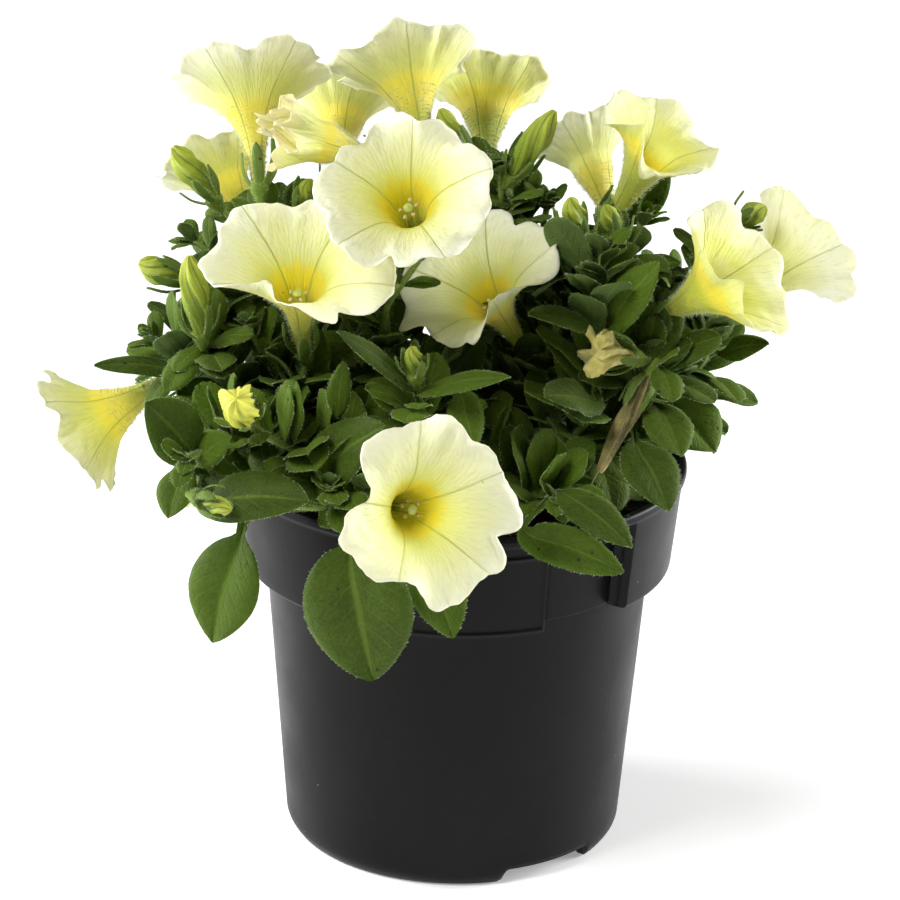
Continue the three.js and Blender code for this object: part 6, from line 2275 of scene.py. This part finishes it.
@dataclass
class Pot:
    """The nursery pot: one wall with a proud band, a recess with a raised label frame, and a notched foot."""

    recess: tuple[float, float] = (-26.0, 50.0)
    recess_top: tuple[float, float] = (116.2, 118.2)
    label: tuple[float, float] = (-17.0, 26.0)
    label_heights: tuple[float, float] = (86.8, 112.0)
    label_line: float = 0.9
    label_relief: float = 0.5
    ledge: float = 0.5
    notches: tuple[float, float] = (36.0, 216.0)
    notch_width: float = 34.0
    notch_height: float = 5.0
    drains: int = 5
    drain_radius: float = 3.5
    drain_circle: float = 36.0
    drain_span: tuple[float, float] = (2.0, 9.5)

    def _angles(self) -> Array:
        """Angles of the columns, in degrees from the front: closer together where the wall has steps."""
        edges = [*self.recess, *self.label]
        dense = [edge + np.linspace(-1.6, 1.6, 13) for edge in edges]
        for notch in self.notches:
            half = math.degrees(self.notch_width / 2 / FOOT_RADIUS)
            dense.append(notch + np.linspace(-half - 2, half + 2, 31))
        angles = np.concatenate([np.arange(0, 360, 2.5), *dense]) % 360
        angles = np.unique(np.round(angles, 3))
        return angles[np.diff(np.append(angles, angles[0] + 360)) > 0.1]

    def _outside(self) -> Array:
        """The outer outline from the middle of the base to the top of the rim, with rounded corners."""
        rim = np.linspace(-0.3, math.pi / 2, 9)
        lip = np.stack([LIP_RADIUS - LIP_ROUND + LIP_ROUND * np.cos(rim),
                        POT_HEIGHT - LIP_ROUND + LIP_ROUND * np.sin(rim)], 1)
        corner = np.linspace(-math.pi / 2, 0, 7)
        band = np.stack([64.6 + BAND_ROUND * np.cos(corner),
                         BAND_FOOT_HEIGHT + BAND_ROUND + BAND_ROUND * np.sin(corner)], 1)
        body_heights = np.concatenate([np.linspace(4, 84, 33), FRAME_FOOT_ROWS])
        share = (body_heights - BODY_FOOT_HEIGHT) / (BAND_FOOT_HEIGHT - BODY_FOOT_HEIGHT)
        body = np.stack([lerp(BODY_FOOT_RADIUS, BODY_TOP_RADIUS, share), body_heights], 1)
        band_heights = np.concatenate([np.linspace(92, 110, 13), FRAME_TOP_ROWS])
        share = (band_heights - BAND_FOOT_HEIGHT) / (BAND_TOP_HEIGHT - BAND_FOOT_HEIGHT)
        wall = np.stack([lerp(BAND_FOOT_RADIUS, BAND_TOP_RADIUS, share), band_heights], 1)
        return np.vstack([BASE_OUTLINE, body, SHOULDER_OUTLINE, band, wall, LIP_FOOT_OUTLINE, lip])

    def _within(self, signed: Array, outer: float, inner: float) -> Array:
        """1 in the recess and 0 beside it, changing between two distances beyond its edges, in degrees."""
        opens = smooth_step(signed, self.recess[0] - outer, self.recess[0] - inner)
        return opens * (1 - smooth_step(signed, self.recess[1] + inner, self.recess[1] + outer))

    def _outer_points(self, angles: Array) -> Array:
        """Radii and heights of the outer face over rows and columns.

        Inside the recess the band's radius drops to the body's, over 0.6 of a degree at its ends and two
        millimetres at its top, and beside the label a low ledge is left of the band's foot. The label's frame
        stands proud of the recess by a bell across its line. The notches lift the foot's ring to their own
        height.
        """
        outline = self._outside()
        radius = np.repeat(outline[:, :1], len(angles), 1)
        height = np.repeat(outline[:, 1:], len(angles), 1)
        signed = wrapped(angles, 360)
        plain = body_radius(height)
        inside = self._within(signed, 0.3, -0.3)
        deep = inside[None] * (1 - smooth_step(height, *self.recess_top)) * (height > 86)
        arc = np.radians(signed) * BODY_TOP_RADIUS
        low, high = (math.radians(end) * BODY_TOP_RADIUS for end in self.label)
        beside = np.maximum(low - arc, arc - high)[None]
        plain = plain + self.ledge * (height > BAND_FOOT_HEIGHT + 0.6) * smooth_step(beside, 0, 1)
        radius = lerp(radius, np.minimum(radius, plain), deep)
        over = np.maximum(self.label_heights[0] - height, height - self.label_heights[1])
        outside = np.maximum(beside, over)
        frame = np.exp(-(((outside + self.label_line / 2) / (self.label_line * 0.55)) ** 4))
        radius = radius + self.label_relief * frame * (height > 60)
        for notch in self.notches:
            off = wrapped(angles - notch, 360)
            width = np.abs(np.radians(off)) * FOOT_RADIUS
            cut = 1 - smooth_step(width, self.notch_width / 2 - 2.4, self.notch_width / 2)
            lifted = np.maximum(height, self.notch_height * cut[None])
            ring = (outline[:, :1] > 46) & (outline[:, 1:] < 8)
            height = np.where(ring, lifted, height)
        return np.stack([radius, height], -1)

    def build(self, finish: bpy.types.Material) -> bpy.types.Object:
        """Builds the pot with its drain holes cut through the base."""
        angles = self._angles()
        outer = self._outer_points(angles)
        inner = np.repeat(np.array(INNER_OUTLINE, float)[:, None], len(angles), 1)
        signed = wrapped(angles, 360)
        behind = self._within(signed, 2, 1)
        height = inner[..., 1]
        plain = body_radius(height) - WALL
        share = behind[None] * (1 - smooth_step(height, 117, 120.5)) * (height > 60)
        inner[..., 0] = lerp(inner[..., 0], np.minimum(inner[..., 0], plain), share)
        rows = np.concatenate([outer, inner])
        turn = np.radians(angles)
        points = np.stack([rows[..., 0] * np.sin(turn), -rows[..., 0] * np.cos(turn), rows[..., 1]], -1)
        steps = np.linalg.norm(np.diff(rows.mean(1), axis=0), axis=1)
        along = np.concatenate([[0], np.cumsum(steps)]) / 100
        pattern = closed_pattern(np.append(angles, angles[0] + 360) / 360, along)
        piece = Piece("pot", [finish], "pot_plastic")
        piece.add(Patch(points, pattern, np.zeros(3), np.array([0.0, 0.0, 2.0])))
        made = piece.build()
        self._cut_drains(made)
        return made

    def _cut_drains(self, made: bpy.types.Object) -> None:
        """Cuts the drain holes through the base."""
        angle = turns(24)
        ring = np.stack([np.cos(angle), np.sin(angle), 0 * angle], -1) * self.drain_radius
        rows = np.array(self.drain_span)
        pattern = closed_pattern(np.arange(25) / 24, rows)
        offset, points, faces = 0, [], []
        for turn in turns(self.drains):
            middle = np.array([math.cos(turn), math.sin(turn), 0.0]) * self.drain_circle
            grid = middle + ring[None] + UP * rows[:, None, None]
            cutter = Patch(grid, pattern, middle + UP * (rows[0] - 0.1), middle + UP * (rows[1] + 0.1))
            part, fours, _, threes, _ = cutter.flatten(offset)
            offset += len(part)
            points.append(part)
            faces += fours.tolist() + threes.tolist()
        mesh = bpy.data.meshes.new("drain_cutter")
        mesh.from_pydata(np.vstack(points) * MM, [], faces)
        point_outwards(mesh)
        cutter_object = bpy.data.objects.new("drain_cutter", mesh)
        bpy.context.scene.collection.objects.link(cutter_object)
        cut = made.modifiers.new("Drains", "BOOLEAN")
        cut.operation = "DIFFERENCE"
        cut.solver = "EXACT"
        cut.object = cutter_object
        with bpy.context.temp_override(object=made, active_object=made):
            bpy.ops.object.modifier_apply(modifier=cut.name)
        bpy.data.objects.remove(cutter_object)
        bpy.data.meshes.remove(mesh)


# The soil's side from the middle of its foot up, as radii and heights, and how much wider each row is
# farther round than so many degrees from the front, where the band is hollow.
SOIL_SIDE = ((10, 3.2), (22, 3.2), (28, 8.2), (49, 8.2), (51, 12), (54.4, 50), (56.8, 87), (57.2, 90),
             (57.3, 100), (57.3, 106), (57.3, 108.6))
SOIL_FLARES = (0, 0, 0, 0, 0, 0, 0, 0, 0.1, 0.13, 0.135)
SOIL_RADIUS = 57.3
FLARE_FROM = 54


@dataclass
class Soil:
    """The potting soil: a lumpy top and a plain block that fills the pot."""

    radii: int = 46
    columns: int = 150
    lumps: float = 0.9

    def top_height(self, x: Array, y: Array) -> Array:
        """The height of the soil's top: two crossed sine waves, as in the packed soil."""
        return SOIL_TOP + 1.1 * (np.sin(x / 5.1) * np.cos(y / 6.3) + 0.5 * np.sin(y / 3.7 + x / 9))

    def build(self, finish: bpy.types.Material) -> None:
        """Builds the soil.

        The top is a grid of rings and spokes at the waves' height, with smaller lumps of chance height on
        it. The side follows the pot's inside.
        """
        chance = np.random.default_rng(SOIL_SEED)
        angle = turns(self.columns)
        side = np.array(SOIL_SIDE, float)
        inner = np.linspace(0.995, 0.02, self.radii) * SOIL_RADIUS
        radius = np.concatenate([side[:, 0], inner])[:, None] + 0 * angle
        signed = wrapped(angle + math.pi / 2)
        wide = (np.abs(signed) > math.radians(FLARE_FROM)).astype(float)
        flare = np.concatenate([SOIL_FLARES, SOIL_FLARES[-1] * (inner / SOIL_RADIUS) ** 3])
        radius = radius * (1 + wide[None] * flare[:, None])
        x, y = radius * np.cos(angle), radius * np.sin(angle)
        height = np.repeat(np.concatenate([side[:, 1], 0 * inner])[:, None], self.columns, 1)
        crumbs = chance.random((self.radii, self.columns)) ** 3 * self.lumps * 1.6
        height[len(side):] = self.top_height(x[len(side):], y[len(side):]) + crumbs - 0.3
        points = np.stack([x, y, height], -1)
        along = np.linspace(0, 1, len(points))
        pattern = closed_pattern(np.arange(self.columns + 1) / self.columns, along)
        piece = Piece("soil", [finish], "potting_soil")
        end = np.array([0.0, 0.0, float(self.top_height(np.array(0.0), np.array(0.0)))])
        piece.add(Patch(points, pattern, UP * SOIL_SIDE[0][1], end))
        piece.build()


# ---- Stage, light and camera ----


@dataclass(frozen=True)
class Softbox:
    """One large soft light that looks at the plant's middle."""

    name: str
    place: Point
    size: float
    power: float

    def build(self, target: Vector) -> None:
        """Adds the light."""
        data = bpy.data.lights.new(self.name, "AREA")
        data.shape = "DISK"
        data.size = self.size
        data.energy = self.power
        lamp = bpy.data.objects.new(self.name, data)
        lamp.location = self.place
        lamp.rotation_euler = (target - Vector(self.place)).to_track_quat("-Z", "Y").to_euler()
        bpy.context.scene.collection.objects.link(lamp)


@dataclass(frozen=True)
class Studio:
    """A pale floor, soft light from all round and a camera at about the photograph's angle."""

    target: Point = (-0.003, 0.0, 0.1234)
    distance: float = 1.2
    elevation: float = 21.0
    roll: float = 1.2
    lens: float = 156.0
    floor_size: float = 14.0
    floor_glow: float = 0.3
    floor_whites: tuple[Colour, Colour] = ((0.93, 0.93, 0.93), (0.95, 0.95, 0.95))
    front_light: float = 0.42
    back_light: float = 2.2
    top_light: float = 3.3
    lamps: tuple[Softbox, ...] = (
        Softbox("key", (-0.9, -0.9, 1.5), 0.8, 26.0),
        Softbox("side_right", (1.3, 0.35, 0.45), 0.7, 26.0),
        Softbox("side_left", (-1.3, 0.3, 0.45), 0.7, 22.0),
    )

    def _floor(self) -> None:
        """The floor, with a faint grain."""
        half = self.floor_size / 2
        mesh = bpy.data.meshes.new("floor")
        mesh.from_pydata([(-half, -half, 0), (half, -half, 0), (half, half, 0), (-half, half, 0)], [],
                         [(0, 1, 2, 3)])
        made, wiring, shader = Finish("floor").start()
        grain = wiring.noise(wiring.place(), 30.0)
        wiring.feed(shader, Base_Color=wiring.blend(grain, *self.floor_whites), Roughness=0.9,
                    Emission_Color=(1.0, 1.0, 1.0), Emission_Strength=self.floor_glow)
        mesh.materials.append(made)
        floor = bpy.data.objects.new("floor", mesh)
        floor.location = (0, 0, -0.0003)
        bpy.context.scene.collection.objects.link(floor)

    def _world(self) -> None:
        """White light from above, the sides and behind, little from the front, and a light backdrop."""
        world = bpy.data.worlds.new("studio")
        world.use_nodes = True
        wiring = Wiring(world.node_tree)
        background = world.node_tree.nodes["Background"]
        parts = wiring.add("ShaderNodeSeparateXYZ")
        wiring.feed_row(parts, wiring.out(wiring.add("ShaderNodeTexCoord"), "Generated"))
        level = wiring.out(parts, "Y").span(-0.9, 0.5, self.front_light, self.back_light)
        above = wiring.out(parts, "Z").span(0.25, 0.95, 0.0, self.top_light)
        seen = wiring.out(wiring.add("ShaderNodeLightPath"), "Is Camera Ray")
        wiring.feed(background, Strength=wiring.math("MAXIMUM", wiring.math("MAXIMUM", level, above), seen))
        bpy.context.scene.world = world

    def _camera(self) -> None:
        """The camera, at about the photograph's angle."""
        data = bpy.data.cameras.new("camera")
        data.lens = self.lens
        data.sensor_width = 36.0
        data.sensor_fit = "HORIZONTAL"
        data.clip_end = 50.0
        slope = math.radians(self.elevation)
        away = Vector((0, -math.cos(slope), math.sin(slope)))
        look = (-away).to_track_quat("-Z", "Y").to_matrix().to_4x4()
        turn = Matrix.Rotation(math.radians(self.roll), 4, "Z")
        camera = bpy.data.objects.new("camera", data)
        camera.matrix_world = Matrix.Translation(Vector(self.target) + away * self.distance) @ look @ turn
        bpy.context.scene.collection.objects.link(camera)
        bpy.context.scene.camera = camera

    def build(self) -> None:
        """Sets the stage."""
        self._floor()
        self._world()
        for lamp in self.lamps:
            lamp.build(Vector(self.target))
        self._camera()
        bpy.context.scene.view_settings.view_transform = "Standard"


# ---- Building in order ----


def main() -> None:
    """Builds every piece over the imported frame, in order."""
    logging.basicConfig(level=logging.INFO, format="%(name)s: %(message)s")
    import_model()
    finishes = Finishes()
    Pot().build(finishes.pot)
    Soil().build(finishes.soil)
    growth = Growth()
    growth.grow()
    growth.thicken()
    for number, shoot in enumerate(growth.shoots):
        LeafyStem(shoot).build(finishes, STEM_SEED + 50 * number)
    for number, bloom in enumerate(BLOOMS):
        BloomPiece(bloom, BLOOM_SEED + 10 * number).build(finishes)
    for number, bud in enumerate(BUDS):
        shape = OPENING_BUD if bud.name == "bud_yellow" else GREEN_BUD
        finish = finishes.bud if bud.name == "bud_yellow" else finishes.young
        BudPiece(bud, shape, BUD_SEED + number).build(finish, finishes.hair)
    dried, spent = DRIED
    BudPiece(dried, WITHERED, DRIED_SEED).build(finishes.dried, finishes.hair)
    BudPiece(spent, HANGING_TUBE, DRIED_SEED + 1).build(finishes.spent, finishes.hair)
    Studio().build()


if __name__ == "__main__":
    main()
